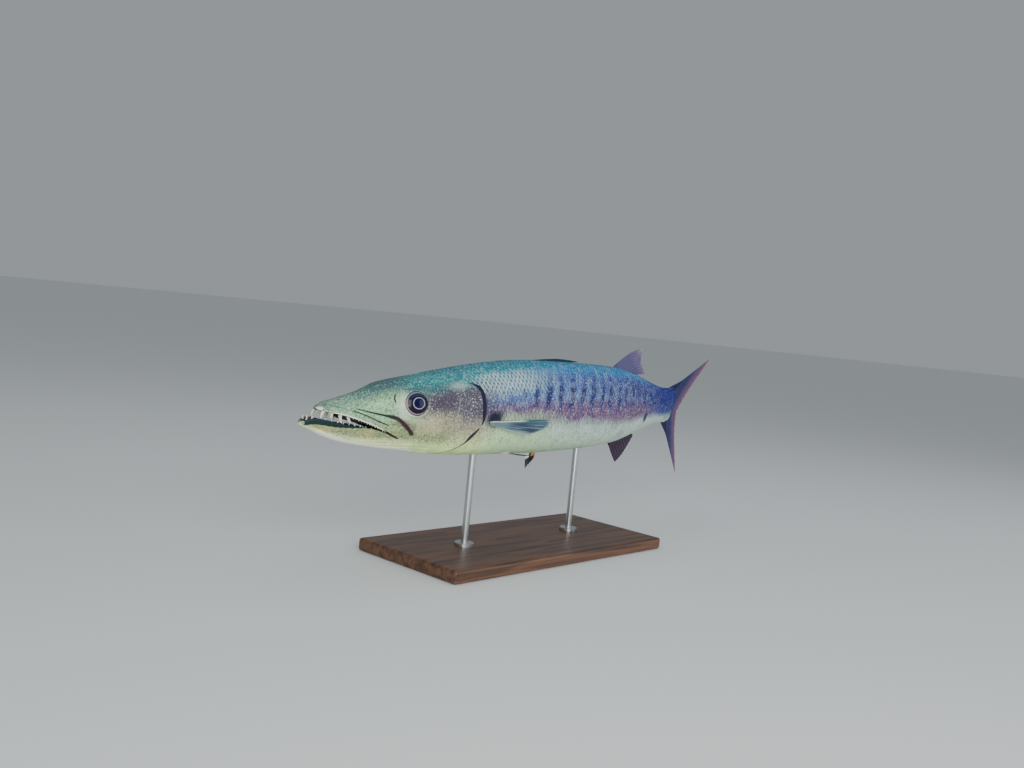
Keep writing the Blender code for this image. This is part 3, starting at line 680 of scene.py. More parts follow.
    def throat(self, station: Array, angle: Array) -> Array:
        """The folds of the gill membrane under the jaw, and the groove between the jaw's halves.

        Args:
            station: In percent.
            angle: In radians.

        Returns:
            Heights, in metres.
        """
        degrees = np.degrees(folded(angle))
        window = ease((station - 7) / 5) * ease((22 - station) / 3)
        rays = 0.45 * MM * np.sin((degrees + 1.2 * station) * 0.55) * ease((degrees - 136) / 8)
        groove = self.throat_groove * bump(degrees - 180, 5) * ease((station - 1.5) / 3)
        return window * rays - groove * ease((18 - station) / 4)

    def cheek(self, station: Array, angle: Array) -> Array:
        """The groove of the cheek's rear plate and the rise of the gill cover to its edge.

        Args:
            station: In percent.
            angle: In radians.

        Returns:
            Heights, in metres.
        """
        degrees = np.degrees(folded(angle))
        front = between(self.cover_front, degrees)
        rear = between(self.cover_rear, degrees)
        gap = station - between(self.preopercle, degrees)
        shown = ease((degrees - 48) / 8) * ease((150 - degrees) / 16)
        groove = (0.45 * MM * bump(gap + 0.35, 0.3) - 0.75 * MM * bump(gap, 0.17)) * shown
        rise = ease((station - front + 1.5) / (rear - front + 1.5)) * (station < rear + 0.3)
        return groove + self.cover_rise * rise * self.edge_share(folded(angle))

    def lift(self, station: Array, angle: Array, with_cover: bool = True) -> Array:
        """Total height of the skin over the plain body, in metres.

        Args:
            station: In percent.
            angle: In radians.
            with_cover: Whether the gill cover's own rise counts.

        Returns:
            Heights, in metres.
        """
        height = FORM.section(station, angle)[1]
        total = self.eye_rim(station, angle) - self.crease_depth * self.creases(station, height)
        total = total + self.jaw_plates(station, height) + self.crown(station, angle)
        total = total + self.throat(station, angle)
        if with_cover:
            total = total + self.cheek(station, angle)
        return total


RELIEF = Relief()


class Tint(Enum):
    """The hide's colours, from the teal back over the mauve flank to the pale belly."""

    CROWN = "#2f6466"
    SNOUT = "#7aa288"
    SIDE_SNOUT = "#9fd09c"
    NAPE = "#1b9496"
    BACK = "#0a8a9c"
    BACK_BLUE = "#1888c6"
    SILVER = "#6d96a8"
    STEEL = "#5475b0"
    DEEP_STEEL = "#3a4592"
    MAUVE = "#6f4874"
    CHEEK = "#554c5c"
    WARM = "#bab28e"
    OLIVE = "#97a86c"
    CREAM = "#f4ffba"
    THROAT = "#e6ffaa"
    BELLY = "#bfe4ae"
    GREY_BELLY = "#bbd2c6"
    STALK = "#0a1488"


@dataclass(frozen=True)
class HideZones:
    """For places along the body, the tints from the back (0) to the belly (180 degrees)."""

    snout: tuple = ((0, Tint.SNOUT), (46, Tint.SNOUT), (84, Tint.SIDE_SNOUT), (108, Tint.OLIVE),
                    (124, Tint.OLIVE), (140, Tint.CREAM), (180, Tint.CREAM))
    forehead: tuple = ((0, Tint.CROWN), (34, Tint.CROWN), (62, Tint.SIDE_SNOUT),
                       (92, Tint.SIDE_SNOUT), (112, Tint.OLIVE), (124, Tint.OLIVE),
                       (136, Tint.CREAM), (180, Tint.THROAT))
    cheek: tuple = ((0, Tint.NAPE), (36, Tint.NAPE), (66, Tint.CHEEK), (80, Tint.CHEEK),
                    (94, Tint.WARM), (124, Tint.OLIVE), (138, Tint.THROAT), (180, Tint.THROAT))
    cover: tuple = ((0, Tint.BACK), (40, Tint.NAPE), (60, Tint.CHEEK), (90, Tint.CHEEK),
                    (112, Tint.WARM), (134, Tint.THROAT), (180, Tint.THROAT))
    shoulder: tuple = ((0, Tint.BACK), (31, Tint.BACK), (44, Tint.SILVER), (62, Tint.SILVER),
                       (76, Tint.STEEL), (87, Tint.MAUVE), (100, Tint.BELLY), (180, Tint.BELLY))
    middle: tuple = ((0, Tint.BACK), (32, Tint.BACK_BLUE), (50, Tint.STEEL), (74, Tint.STEEL),
                     (86, Tint.MAUVE), (97, Tint.MAUVE), (109, Tint.GREY_BELLY),
                     (180, Tint.BELLY))
    rear: tuple = ((0, Tint.BACK_BLUE), (32, Tint.BACK_BLUE), (52, Tint.DEEP_STEEL),
                   (80, Tint.DEEP_STEEL), (92, Tint.MAUVE), (103, Tint.MAUVE),
                   (115, Tint.GREY_BELLY), (180, Tint.GREY_BELLY))
    stalk: tuple = ((0, Tint.STALK), (80, Tint.STALK), (103, Tint.DEEP_STEEL),
                    (122, Tint.GREY_BELLY), (180, Tint.GREY_BELLY))
    stations: tuple = ((3, "snout"), (12, "forehead"), (20, "cheek"), (27, "cover"),
                       (36, "shoulder"), (52, "middle"), (76, "rear"), (91, "stalk"))


@dataclass(frozen=True)
class Blotch:
    """A soft patch of colour on the hide: its middle, its half sizes and how strong it is.

    Stations and half lengths are in percent, angles and half heights in degrees.
    """

    station: float
    angle: float
    length: float
    tall: float
    colour: str
    strength: float
    soft: float = 0.5


@dataclass(frozen=True)
class FishHide:
    """Wet scaled fish skin: satin silver under a thin wet film, mottled and barred with dark blue,
    with painted shade in its folds and under the gill cover's edge and painted highlights on the
    shoulder's scales.
    """

    zones: HideZones = HideZones()
    roughness: float = 0.44
    metallic: float = 0.10
    film: float = 0.05
    gloss: float = 0.24
    bar_pitch: float = 3.15
    bar_lean: float = 0.035
    bar_waver: float = 1.6
    zone_waver: float = 0.075
    cloud_scale: float = 38.0
    speckle_scale: float = 430.0
    fleck_scale: float = 145.0
    pore_scale: float = 1500.0
    small_scales: float = 560.0
    bars: tuple = (
        Layer("#1e2f8c", 0.82, (("wave", -0.3, 0.8), ("station", 37, 54), ("station", 97, 93),
                                ("angle", 30, 54), ("angle", 96, 84))),
        Layer("#0a1060", 0.97, (("wave", -0.1, 0.8), ("station", 31, 44), ("station", 97, 93),
                                ("angle", 56, 68), ("angle", 92, 82))),
    )
    blotches: tuple = (
        Blotch(21.8, 72, 2.6, 12, "#463a4a", 0.6),
        Blotch(2.6, 108, 2.6, 7, "#b49a68", 0.45),
        Blotch(0.6, 76, 1.2, 16, "#d5dfc6", 0.55),
        Blotch(14.1, 74, 1.4, 19, "#e4ecd4", 0.52),
        Blotch(16.4, 47, 1.9, 6.5, "#2a5c68", 0.55),
        Blotch(13.5, 98, 1.7, 5.0, "#5c3630", 0.60),
        Blotch(15.2, 104, 1.2, 5.0, "#4e3038", 0.45),
        Blotch(19.0, 104, 2.6, 9, "#b9b28a", 0.45),
        Blotch(24.6, 50, 1.5, 6.0, "#bcd0c6", 0.45, 0.8),
        Blotch(31.9, 96.5, 1.7, 8.5, "#06062e", 0.97, 0.5),
        Blotch(80.7, 112, 0.9, 12, "#141c58", 0.95),
        Blotch(93.5, 60, 7.5, 40, "#0a1478", 0.32, 0.9),
        Blotch(96.0, 118, 2.6, 22, "#343a6c", 0.35),
        Blotch(70.0, 134, 1.5, 9, "#5b6788", 0.25),
    )
    mottling: tuple = (
        Layer("#323848", 0.46, (("fine", 0.52, 0.66), ("angle", 152, 126))),
        Layer("#e6eedc", 0.40, (("fine", 0.46, 0.34), ("station", 96, 78))),
        Layer("#2e3442", 0.26, (("fine", 0.50, 0.60), ("station", 30, 22), ("angle", 150, 132))),
        Layer("#525c68", 0.26, (("broad", 0.35, 0.65), ("station", 33, 24))),
        Layer("#c2a874", 0.30, (("broad", 0.56, 0.40), ("station", 17, 8), ("angle", 92, 110),
                                ("angle", 136, 126))),
        Layer("#e6eef2", 0.75, (("speck", 0.17, 0.08), ("cell", 0.45, 0.60), ("angle", 44, 60),
                                ("angle", 116, 98))),
    )
    on_scales: tuple = (
        Layer("#2c3856", 0.17, (("tone", 0.5, 0.0),)),
        Layer("#c6d7da", 0.15, (("tone", 0.5, 1.0),)),
        Layer("#25345a", 0.55, (("reach", 0.74, 0.96), ("angle", 124, 96))),
        # Painted highlights: a pale band over each scale on the shoulder, where the scales catch the
        # light.
        Layer("#d6ecee", 0.48, (("reach", 0.50, 0.64), ("reach", 0.88, 0.76), ("station", 26, 30),
                                ("station", 47, 37), ("angle", 29, 40), ("angle", 72, 60))),
    )
    on_skin: tuple = (
        # Painted shade: dark in the folds by the jaw and the nostrils, reddish dark deep in the fold
        # at the mouth's corner.
        Layer("#1b1220", 0.95, (("crease_shade", 0.12, 0.70),)),
        Layer("#4a2430", 0.75, (("crease_shade", 0.40, 0.85), ("station", 12.0, 13.2))),
        Layer("#012430", 0.98, (("gum", 0.35, 0.65),)),
        Layer("#f4fae6", 0.90, (("gum", -0.30, -0.75),)),
        Layer("#b4b6b0", 0.42, (("arc", 0.3, 1.0),)),
        # Near black along the gill cover's edge: the cover's own dark rim, with painted shadow under
        # the edge and on the fold beneath it.
        Layer("#080b2c", 0.96, (("border", 0.2, 0.7),)),
    )

    def read(self, tree: Tree, coat: bool) -> dict:
        """Adds the nodes of all values that layers can name.

        Args:
            tree: The node tree.
            coat: Whether it is for the scales.

        Returns:
            The sockets by name.
        """
        maps = (("TrimMap", "crease_shade", "gum"), ("BorderMap", "border", "arc"))
        if coat:
            maps = (("ToneMap", "tone", "reach"),)
        values = read_maps(tree, (("BodyMap", "along", "round"), *maps))
        values["spot"] = node(tree, "UVMap", uv_map="BodyMap").outputs["UV"]
        values["place"] = node(tree, "TexCoord").outputs["Object"]
        # Clouds are about 26 mm wide, speckles 2 mm, and loose white flecks 7 mm apart.
        for name, scale in (("broad", self.cloud_scale), ("fine", self.speckle_scale)):
            noise = node(tree, "TexNoise",
                         {"Vector": values["place"], "Scale": scale, "Detail": 4.0})
            values[name], values[f"{name}_way"] = noise.outputs["Fac"], noise.outputs["Color"]
        flecks = node(tree, "TexVoronoi", {"Vector": values["place"], "Scale": self.fleck_scale})
        values["speck"] = flecks.outputs["Distance"]
        values["cell"] = flecks.outputs["Color"]
        sums = (
            ("turned", "MULTIPLY_ADD", "broad", self.zone_waver, "round"),
            ("turned", "SUBTRACT", "turned", self.zone_waver / 2, 0.0),
            ("angle", "MULTIPLY", "turned", 180.0, 0.0),
            ("station", "MULTIPLY", "along", 100.0, 0.0),
            ("lean", "MULTIPLY_ADD", "angle", self.bar_lean, "station"),
            ("lean", "MULTIPLY_ADD", "broad", self.bar_waver, "lean"),
            ("wave", "MULTIPLY", "lean", 2 * math.pi / self.bar_pitch, 0.0),
            ("wave", "SINE", "wave", 0.0, 0.0),
        )
        for name, operation, *terms in sums:
            ports = {i: values.get(term, term) for i, term in enumerate(terms)}
            values[name] = node(tree, "Math", ports, operation=operation).outputs[0]
        return values

    def base(self, tree: Tree, values: dict) -> Socket:
        """The plain colours, mixed along the body from one ramp to the next.

        Args:
            tree: The node tree.
            values: The named sockets.

        Returns:
            The colour.
        """
        colour = None
        before = 0
        for station, name in self.zones.stations:
            ramp = node(tree, "ValToRGB", {"Fac": values["turned"]})
            stops = getattr(self.zones, name)
            set_stops(ramp, [(degrees / 180, tint.value) for degrees, tint in stops])
            over = ramp.outputs["Color"]
            spans = (("station", before, station),)
            colour = over if colour is None else lay(tree, colour, over, 1.0, spans, values)
            before = station
        return colour

    def with_blotches(self, tree: Tree, colour: Socket, values: dict) -> Socket:
        """Lays the blotches over a colour, each with a ragged border.

        Args:
            tree: The node tree.
            colour: The colour below.
            values: The named sockets.

        Returns:
            The colour with the blotches.
        """
        ragged = node(tree, "VectorMath",
                      {0: values["broad_way"], 1: (0.016, 0.05, 0.0), 2: values["spot"]},
                      operation="MULTIPLY_ADD").outputs[0]
        ragged = node(tree, "VectorMath", {0: ragged, 1: (0.008, 0.025, 0.0)},
                      operation="SUBTRACT").outputs[0]
        for blotch in self.blotches:
            size = (100 / blotch.length, 180 / blotch.tall, 0.0)
            middle = (-blotch.station / blotch.length, -blotch.angle / blotch.tall, 0.0)
            moved = node(tree, "Mapping", {"Vector": ragged, "Scale": size, "Location": middle})
            far = node(tree, "VectorMath", {0: moved.outputs["Vector"]},
                       operation="LENGTH").outputs["Value"]
            spans = (("far", 1 + blotch.soft, 1 - blotch.soft),)
            colour = lay(tree, colour, blotch.colour, blotch.strength, spans, {"far": far})
        return colour

    def build(self, name: str, coat: bool) -> Finish:
        """Makes the material.

        Args:
            name: The material's name.
            coat: Whether it is for the scales over the skin, with a tone for each scale.

        Returns:
            The material.
        """
        made, tree, shader = empty_finish(name)
        values = self.read(tree, coat)
        first = (*self.bars, *self.mottling, *(self.on_scales if coat else ()))
        colour = lay_all(tree, self.base(tree, values), first, values)
        colour = self.with_blotches(tree, colour, values)
        colour = lay_all(tree, colour, () if coat else self.on_skin, values)
        rough = node(tree, "Math",
                     {0: values["fine"], 1: 0.5, 2: self.roughness - 0.15},
                     operation="MULTIPLY_ADD").outputs[0]
        # Pores are about 0.5 mm wide, and the cheek's scales 1.5 to 2 mm.
        pores = node(tree, "TexNoise", {"Vector": values["place"], "Scale": self.pore_scale})
        relief = node(tree, "Bump",
                      {"Height": pores.outputs["Fac"], "Distance": 0.0001, "Strength": 0.5})
        if not coat:
            cells = node(tree, "TexVoronoi",
                         {"Vector": values["place"], "Scale": self.small_scales})
            relief = node(tree, "Bump",
                          {"Height": cells.outputs["Distance"], "Distance": 0.00035,
                           "Strength": 0.55, "Normal": relief.outputs[0]}, invert=True)
        finish_with(
            tree, shader,
            {"Base Color": colour, "Roughness": rough, "Normal": relief.outputs[0]},
            Metallic=self.metallic, Specular_IOR_Level=self.gloss, Coat_Weight=self.film,
            Coat_Roughness=0.22,
        )
        return made


@dataclass(frozen=True)
class MouthLining:
    """Wet gum and palate: smooth, glossy, dusky pink, with painted shade darkening it towards the
    throat.
    """

    # Painted shade: the lining darkens to near black deep in the mouth.
    stops: tuple = ((0.0, "#5f5a58"), (0.05, "#43383c"), (0.11, "#17141a"))

    def build(self) -> Finish:
        """Makes the material, with painted shade darker towards the throat by the body map's station.

        Returns:
            The material.
        """
        made, tree, shader = empty_finish("wet mouth lining")
        values = read_maps(tree, (("BodyMap", "station", "same"),))
        ramp = node(tree, "ValToRGB", {"Fac": values["station"]})
        set_stops(ramp, self.stops)
        place = node(tree, "TexCoord").outputs["Object"]
        folds = node(tree, "TexNoise", {"Vector": place, "Scale": 260.0, "Detail": 3.0})
        relief = node(tree, "Bump", {"Height": folds.outputs[0], "Distance": 0.0006})
        finish_with(tree, shader, {"Base Color": ramp.outputs[0], "Normal": relief.outputs[0]},
                    Roughness=0.28, Coat_Weight=0.6)
        return made


@dataclass(frozen=True)
class ToothEnamel:
    """Tooth enamel: hard gloss, red-brown in the gum, then pale ivory up to the tip."""

    stops: tuple = ((0.0, "#2c141c"), (0.13, "#6a3a3e"), (0.24, "#d2d4bc"), (1.0, "#f4f6e8"))

    def build(self) -> Finish:
        """Makes the material from the tooth map's distance along each tooth.

        Returns:
            The material.
        """
        made, tree, shader = empty_finish("tooth enamel")
        values = read_maps(tree, (("ToothMap", "reach", "same"),))
        ramp = node(tree, "ValToRGB", {"Fac": values["reach"]})
        set_stops(ramp, self.stops)
        place = node(tree, "TexCoord").outputs["Object"]
        cracks = node(tree, "TexNoise", {"Vector": place, "Scale": 900.0})
        relief = node(tree, "Bump", {"Height": cracks.outputs[0], "Distance": 0.00015})
        finish_with(tree, shader, {"Base Color": ramp.outputs[0], "Normal": relief.outputs[0]},
                    Roughness=0.22, Subsurface_Weight=0.15)
        shader.inputs["Subsurface Radius"].default_value = (0.003, 0.002, 0.001)
        return made


@dataclass(frozen=True)
class EyeGlass:
    """A wet fish eye under a clear cornea: navy pupil, thin pale ring and purple-black iris."""

    stops: tuple = (
        (0.0, "#050b30"), (0.385, "#060d38"), (0.41, "#4a5a8c"), (0.44, "#c4c9d2"),
        (0.465, "#4a3a60"), (0.51, "#0d0718"), (0.78, "#120a1c"), (0.84, "#a896a4"),
        (0.89, "#2a2a3a"),
    )
    # Painted light: a paler blue on the iris's upper part, as if lit from above.
    painted_top_light: Layer = Layer("#3c5478", 0.30, (("up", 0.12, 0.62), ("radius", 0.47, 0.60)))

    def build(self) -> Finish:
        """Makes the material from the eye map's radius and direction.

        Returns:
            The material.
        """
        made, tree, shader = empty_finish("glass eye")
        values = read_maps(tree, (("EyeMap", "radius", "up"),))
        place = node(tree, "TexCoord").outputs["Object"]
        stir = node(tree, "TexNoise", {"Vector": place, "Scale": 380.0, "Detail": 4.0})
        shifted = node(tree, "Math",
                       {0: stir.outputs["Fac"], 1: 0.035, 2: values["radius"]},
                       operation="MULTIPLY_ADD").outputs[0]
        ramp = node(tree, "ValToRGB", {"Fac": shifted})
        set_stops(ramp, self.stops)
        colour = lay_all(tree, ramp.outputs["Color"], (self.painted_top_light,), values)
        finish_with(tree, shader, {"Base Color": colour}, Roughness=0.16, Specular_IOR_Level=0.30)
        return made


@dataclass(frozen=True)
class FinWeb:
    """Fin membrane over horny rays: thin, satin, darker webs between paler jointed rays."""

    web: str
    layers: tuple
    sheen: float = 0.30

    def build(self, name: str) -> Finish:
        """Makes the material from the fin map: first ray to last, and root to margin.

        Args:
            name: The name it gets.

        Returns:
            The material.
        """
        made, tree, shader = empty_finish(name)
        values = read_maps(tree, (("FinMap", "back", "out"), ("RidgeMap", "ray", "same")))
        place = node(tree, "TexCoord").outputs["Object"]
        stir = node(tree, "TexNoise", {"Vector": place, "Scale": 120.0, "Detail": 5.0})
        values["stir"] = stir.outputs["Fac"]
        spot = node(tree, "UVMap", uv_map="FinMap").outputs["UV"]
        # Streaks run along the rays, about a ray and a half wide.
        drawn = node(tree, "Mapping", {"Vector": spot, "Scale": (14.0, 1.6, 1.0)})
        streak = node(tree, "TexNoise", {"Vector": drawn.outputs[0], "Scale": 1.0})
        values["streak"] = streak.outputs["Fac"]
        values["edge"] = node(tree, "Math",
                              {0: values["stir"], 1: 0.22, 2: values["out"]},
                              operation="MULTIPLY_ADD").outputs[0]
        colour = lay_all(tree, self.web, self.layers, values)
        # Ray joints are about 1.2 mm apart, drawn as fine cross grooves.
        joints = node(tree, "Math", {0: values["out"], 1: 300.0}, operation="MULTIPLY")
        wave = node(tree, "Math", {0: joints.outputs[0]}, operation="SINE").outputs[0]
        on_ray = node(tree, "Math", {0: wave, 1: values["ray"]}, operation="MULTIPLY")
        relief = node(tree, "Bump",
                      {"Height": on_ray.outputs[0], "Distance": 0.0002, "Strength": 0.5})
        finish_with(tree, shader, {"Base Color": colour, "Normal": relief.outputs[0]},
                    Roughness=0.5, Specular_IOR_Level=self.sheen)
        return made


@dataclass(frozen=True)
class Walnut:
    """Oiled walnut: warm brown with long darker grain lines, satin."""

    stops: tuple = ((0.30, "#2f1d13"), (0.46, "#4f3322"), (0.58, "#6b472f"), (0.72, "#57392a"))

    def build(self) -> Finish:
        """Makes the material with its grain along X, lines about 4 mm apart.

        Returns:
            The material.
        """
        made, tree, shader = empty_finish("oiled walnut")
        place = node(tree, "TexCoord").outputs["Object"]
        drawn = node(tree, "Mapping", {"Vector": place, "Scale": (1.6, 26.0, 26.0)})
        grain = node(tree, "TexNoise",
                     {"Vector": drawn.outputs[0], "Scale": 4.0, "Detail": 8.0, "Distortion": 0.6})
        fibre = node(tree, "Mapping", {"Vector": place, "Scale": (9.0, 420.0, 420.0)})
        pores = node(tree, "TexNoise",
                     {"Vector": fibre.outputs[0], "Scale": 3.0, "Detail": 3.0}).outputs["Fac"]
        ramp = node(tree, "ValToRGB", {"Fac": grain.outputs["Fac"]})
        set_stops(ramp, self.stops)
        both = node(tree, "Mix", {0: 0.25, 6: ramp.outputs[0], 7: pores},
                    data_type="RGBA", blend_type="OVERLAY")
        relief = node(tree, "Bump", {"Height": pores, "Distance": 0.0001, "Strength": 0.6})
        finish_with(tree, shader, {"Base Color": both.outputs[2], "Normal": relief.outputs[0]},
                    Roughness=0.42)
        return made


@dataclass(frozen=True)
class BrushedSteel:
    """Brushed stainless steel: bright metal with fine lines round the rod."""

    def build(self) -> Finish:
        """Makes the material with brush lines about 0.3 mm apart.

        Returns:
            The material.
        """
        made, tree, shader = empty_finish("brushed steel")
        place = node(tree, "TexCoord").outputs["Object"]
        drawn = node(tree, "Mapping", {"Vector": place, "Scale": (60.0, 60.0, 3000.0)})
        lines = node(tree, "TexNoise", {"Vector": drawn.outputs[0], "Scale": 1.0}).outputs[0]
        rough = node(tree, "MapRange", {"Value": lines, "To Min": 0.24, "To Max": 0.42})
        relief = node(tree, "Bump", {"Height": lines, "Distance": 0.00005})
        finish_with(tree, shader, {"Roughness": rough.outputs[0], "Normal": relief.outputs[0]},
                    Metallic=1.0)
        shader.inputs["Base Color"].default_value = linear("#b9bbbd")
        return made


@dataclass(frozen=True)
class SkinSize:
    """Sizes of the skin's mesh."""

    depth: float = 0.6 * MM
    nose_rows: int = 10
    chin_rows: int = 25
    chin_crowding: float = 1.3
    mouth_step: float = 0.13
    cheek_start: float = 17.0
    cheek_rows: int = 88
    trunk_rows: int = 52
    trunk_end: float = 98.9
    top_columns: int = 201
    low_columns: int = 65
    lining_columns: int = 27
    parting: float = math.radians(118)
    spread: float = 0.82
    palate: float = 0.32
    palate_keels: Table = ((0.24, 0.10), (0.76, 0.10))
    keel_depth: float = 0.60
    floor_share: float = 0.62
    trough: float = 1.35
    bead: float = 0.7 * MM
    fold_step: float = 0.012
    fold: Table = (
        (0.05, 0.93), (0.085, 0.80), (0.09, 0.62), (0.03, 0.48), (-0.10, 0.42), (-0.60, 0.25),
        (-0.75, 0.10), (-0.65, 0.0), (-0.20, -0.02), (0.25, 0.0),
    )


class Skin:
    """One closed skin over the whole fish, with its mouth, sockets, folds and gill covers."""

    def __init__(self, size: SkinSize = SkinSize()) -> None:
        """Keeps the sizes and works out the rows of points along the jaws."""
        self.size = size
        steps = math.pi / 2 * np.arange(size.nose_rows) / size.nose_rows
        nose = FORM.snout_rounding * (1 - np.cos(steps))
        count = round((FORM.mouth_corner - FORM.snout_rounding) / size.mouth_step)
        jaw = np.linspace(FORM.snout_rounding, FORM.mouth_corner, count)
        self.mouth_stations = np.r_[nose, jaw]
        chin = FORM.chin_tip * np.linspace(1, 0, size.chin_rows + 1)[:-1] ** size.chin_crowding
        self.low_stations = np.r_[chin, self.mouth_stations]

    def outer(self, station: Array, angle: Array, jaw: Jaw) -> Array:
        """World points of the plain form with the snout's or the chin's rounded tip.

        Args:
            station: In percent.
            angle: In radians.
            jaw: Which jaw.

        Returns:
            Points in metres.
        """
        across, height = FORM.section(station, angle)
        left = FORM.rounding(station, jaw)
        if jaw is Jaw.UPPER:
            height = FORM.snout_tip_height + (height - FORM.snout_tip_height) * left
        return FORM.place(station, across * left, height)

    def lifted(self, station: Array, angle: Array, lift: Array, jaw: Jaw) -> Array:
        """The outer form moved along its own outward direction.

        Args:
            station: In percent.
            angle: In radians.
            lift: In metres.
            jaw: Which jaw.

        Returns:
            Points in metres.
        """
        ds, da = 0.12, 0.02
        along = self.outer(station + ds, angle, jaw) - self.outer(station - ds, angle, jaw)
        around = self.outer(station, angle + da, jaw) - self.outer(station, angle - da, jaw)
        out = np.cross(around, along)
        length = np.linalg.norm(out, axis=-1, keepdims=True)
        out = np.where(length > 1e-12, out / np.maximum(length, 1e-12), (-1.0, 0.0, 0.0))
        return self.outer(station, angle, jaw) + out * lift[..., None]

    def lip_angle(self, station: Array, jaw: Jaw) -> Array:
        """Angle at which the upper and the lower sheet of skin end on the left side.

        Args:
            station: In percent.
            jaw: Which jaw.

        Returns:
            Angles, in radians.
        """
        capped = np.minimum(station, FORM.mouth_corner)
        at_lip = FORM.angle_at(capped, between(FORM.lip(jaw), capped))
        share = (station - FORM.mouth_corner) / (self.size.cheek_start - FORM.mouth_corner)
        return at_lip + (self.size.parting - at_lip) * ease(share)

    def columns(self, jaw: Jaw) -> Array:
        """Shares across a sheet, from -1 to 1 for the upper and 0 to 1 for the lower one.

        Args:
            jaw: Which jaw.

        Returns:
            The shares.
        """
        if jaw is Jaw.LOWER:
            return np.linspace(0, 1, self.size.low_columns)
        share = np.linspace(-1, 1, self.size.top_columns)
        return np.sign(share) * np.abs(share) ** self.size.spread

    def angles(self, station: Array, jaw: Jaw) -> Array:
        """Angles of a sheet's columns at each station.

        Args:
            station: In percent.
            jaw: Which jaw.

        Returns:
            Angles as rows for stations and columns.
        """
        edge = self.lip_angle(station, jaw)[:, None]
        share = self.columns(jaw)[None, :]
        if jaw is Jaw.UPPER:
            return edge * share
        return edge + (2 * math.pi - 2 * edge) * share

    def sheet_grid(self, jaw: Jaw) -> tuple[Array, Array, Array, Array]:
        """Stations, angles, lifts and shares of painted shadow under the gill cover of a sheet's
        points, row by row.

        Args:
            jaw: Which jaw.

        Returns:
            Four grids of the same shape.
        """
        size = self.size
        front = self.mouth_stations if jaw is Jaw.UPPER else self.low_stations
        count = round((size.cheek_start - FORM.mouth_corner) / size.mouth_step)
        hinge = np.linspace(FORM.mouth_corner, size.cheek_start, count + 1)[1:]
        straight = np.r_[front, hinge]
        angle = self.angles(straight, jaw)
        station = np.broadcast_to(straight[:, None], angle.shape)
        lift = RELIEF.lift(station, angle)
        ring = self.angles(np.array([size.cheek_start]), jaw)[0]
        edge = RELIEF.edge_station(folded(ring))
        free = RELIEF.edge_share(folded(ring))
        share = np.linspace(0, 1, size.cheek_rows + 1)[1:, None]
        cheek = size.cheek_start + (edge - size.cheek_start) * share
        offsets = np.array(size.fold)
        number = np.arange(1, len(offsets) + 1)[:, None]
        fold = edge + offsets[:, :1] * free + size.fold_step * number
        share = np.linspace(0, 1, size.trunk_rows + 1)[1:, None]
        trunk = fold[-1] + (size.trunk_end - fold[-1]) * share
        around = [np.broadcast_to(ring, band.shape) for band in (cheek, fold, trunk)]
        lifts = (
            lift,
            RELIEF.lift(cheek, around[0]),
            RELIEF.lift(fold, around[1], with_cover=False)
            + RELIEF.cover_rise * free * offsets[:, 1:],
            RELIEF.lift(trunk, around[2], with_cover=False),
        )
        hidden = np.zeros(len(straight) + size.cheek_rows)
        # Painted shadow on the fold under the gill cover, growing over its first rows.
        under = np.r_[hidden, np.clip(np.arange(len(offsets)) / 3, 0, 1), np.zeros(size.trunk_rows)]
        return (
            np.vstack((station, cheek, fold, trunk)),
            np.vstack((angle, *around)),
            np.vstack(lifts) - size.depth,
            under[:, None] * free,
        )

    def lip_swell(self, station: Array, angle: Array, jaw: Jaw) -> Array:
        """The soft bead of the lip along a sheet's edge."""
        gap = np.abs(FORM.section(station, angle)[1] - between(FORM.lip(jaw), station))
        window = ease((FORM.mouth_corner + 0.4 - station) / 1.2)
        return 0.45 * MM * bump(gap - 0.22, 0.2) * window

    def trim(self, station: Array, angle: Array, jaw: Jaw) -> Array:
        """Shares of painted shade in the folds and of gum or white lip for the trim map.

        Args:
            station: In percent.
            angle: In radians.
            jaw: Which jaw.

        Returns:
            Two numbers for each point.
        """
        height = FORM.section(station, angle)[1]
        # The folds' depth also sets how much painted shade lies in them.
        crease_shade = RELIEF.creases(station, height, 1.7)
        crease_shade = crease_shade * (station < 17) * (np.abs(np.sin(angle)) > 0.3)
        gap = np.abs(height - between(FORM.lip(jaw), station))
        if jaw is Jaw.UPPER:
            white = bump(gap, 0.22) * ease((12.0 - station) / 2) * ease((station - 1.2) / 2)
            tip = bump(np.hypot(station - 0.5, height), 0.6)
            ring = bump(RELIEF.eye_share(station, angle) - 1.08, 0.05)
            ring = 0.7 * ring * ease((RELIEF.eye_height - 0.2 - height) / 0.9)
            pale = np.maximum.reduce((white, 0.9 * tip, ring))
            return np.stack((crease_shade, -pale), axis=-1)
        band = 0.86 * ease((9.5 - station) / 9)
        gum = ease((band - gap) / 0.12 + 0.5) * ease((9.3 - station) / 1.5)
        keel = bump(path_gap(RELIEF.jaw_line, station, height), 0.36) * ease((21 - station) / 5)
        knob = bump(np.hypot(station + 2.3, height + 2.1), 0.45)
        return np.stack((crease_shade * (station > 9), gum - 1.6 * knob - keel), axis=-1)

    def cover_border(self, station: Array, angle: Array, under: Array) -> Array:
        """Shares of the gill cover's dark rim with painted shadow under its edge, and of the cheek
        plate's pale arc.

        Args:
            station: In percent.
            angle: In radians.
            under: Shares of painted shadow on the fold that lies under the cover.

        Returns:
            Two numbers for each point.
        """
        down = folded(angle)
        degrees = np.degrees(down)
        gap = RELIEF.edge_station(down) - station
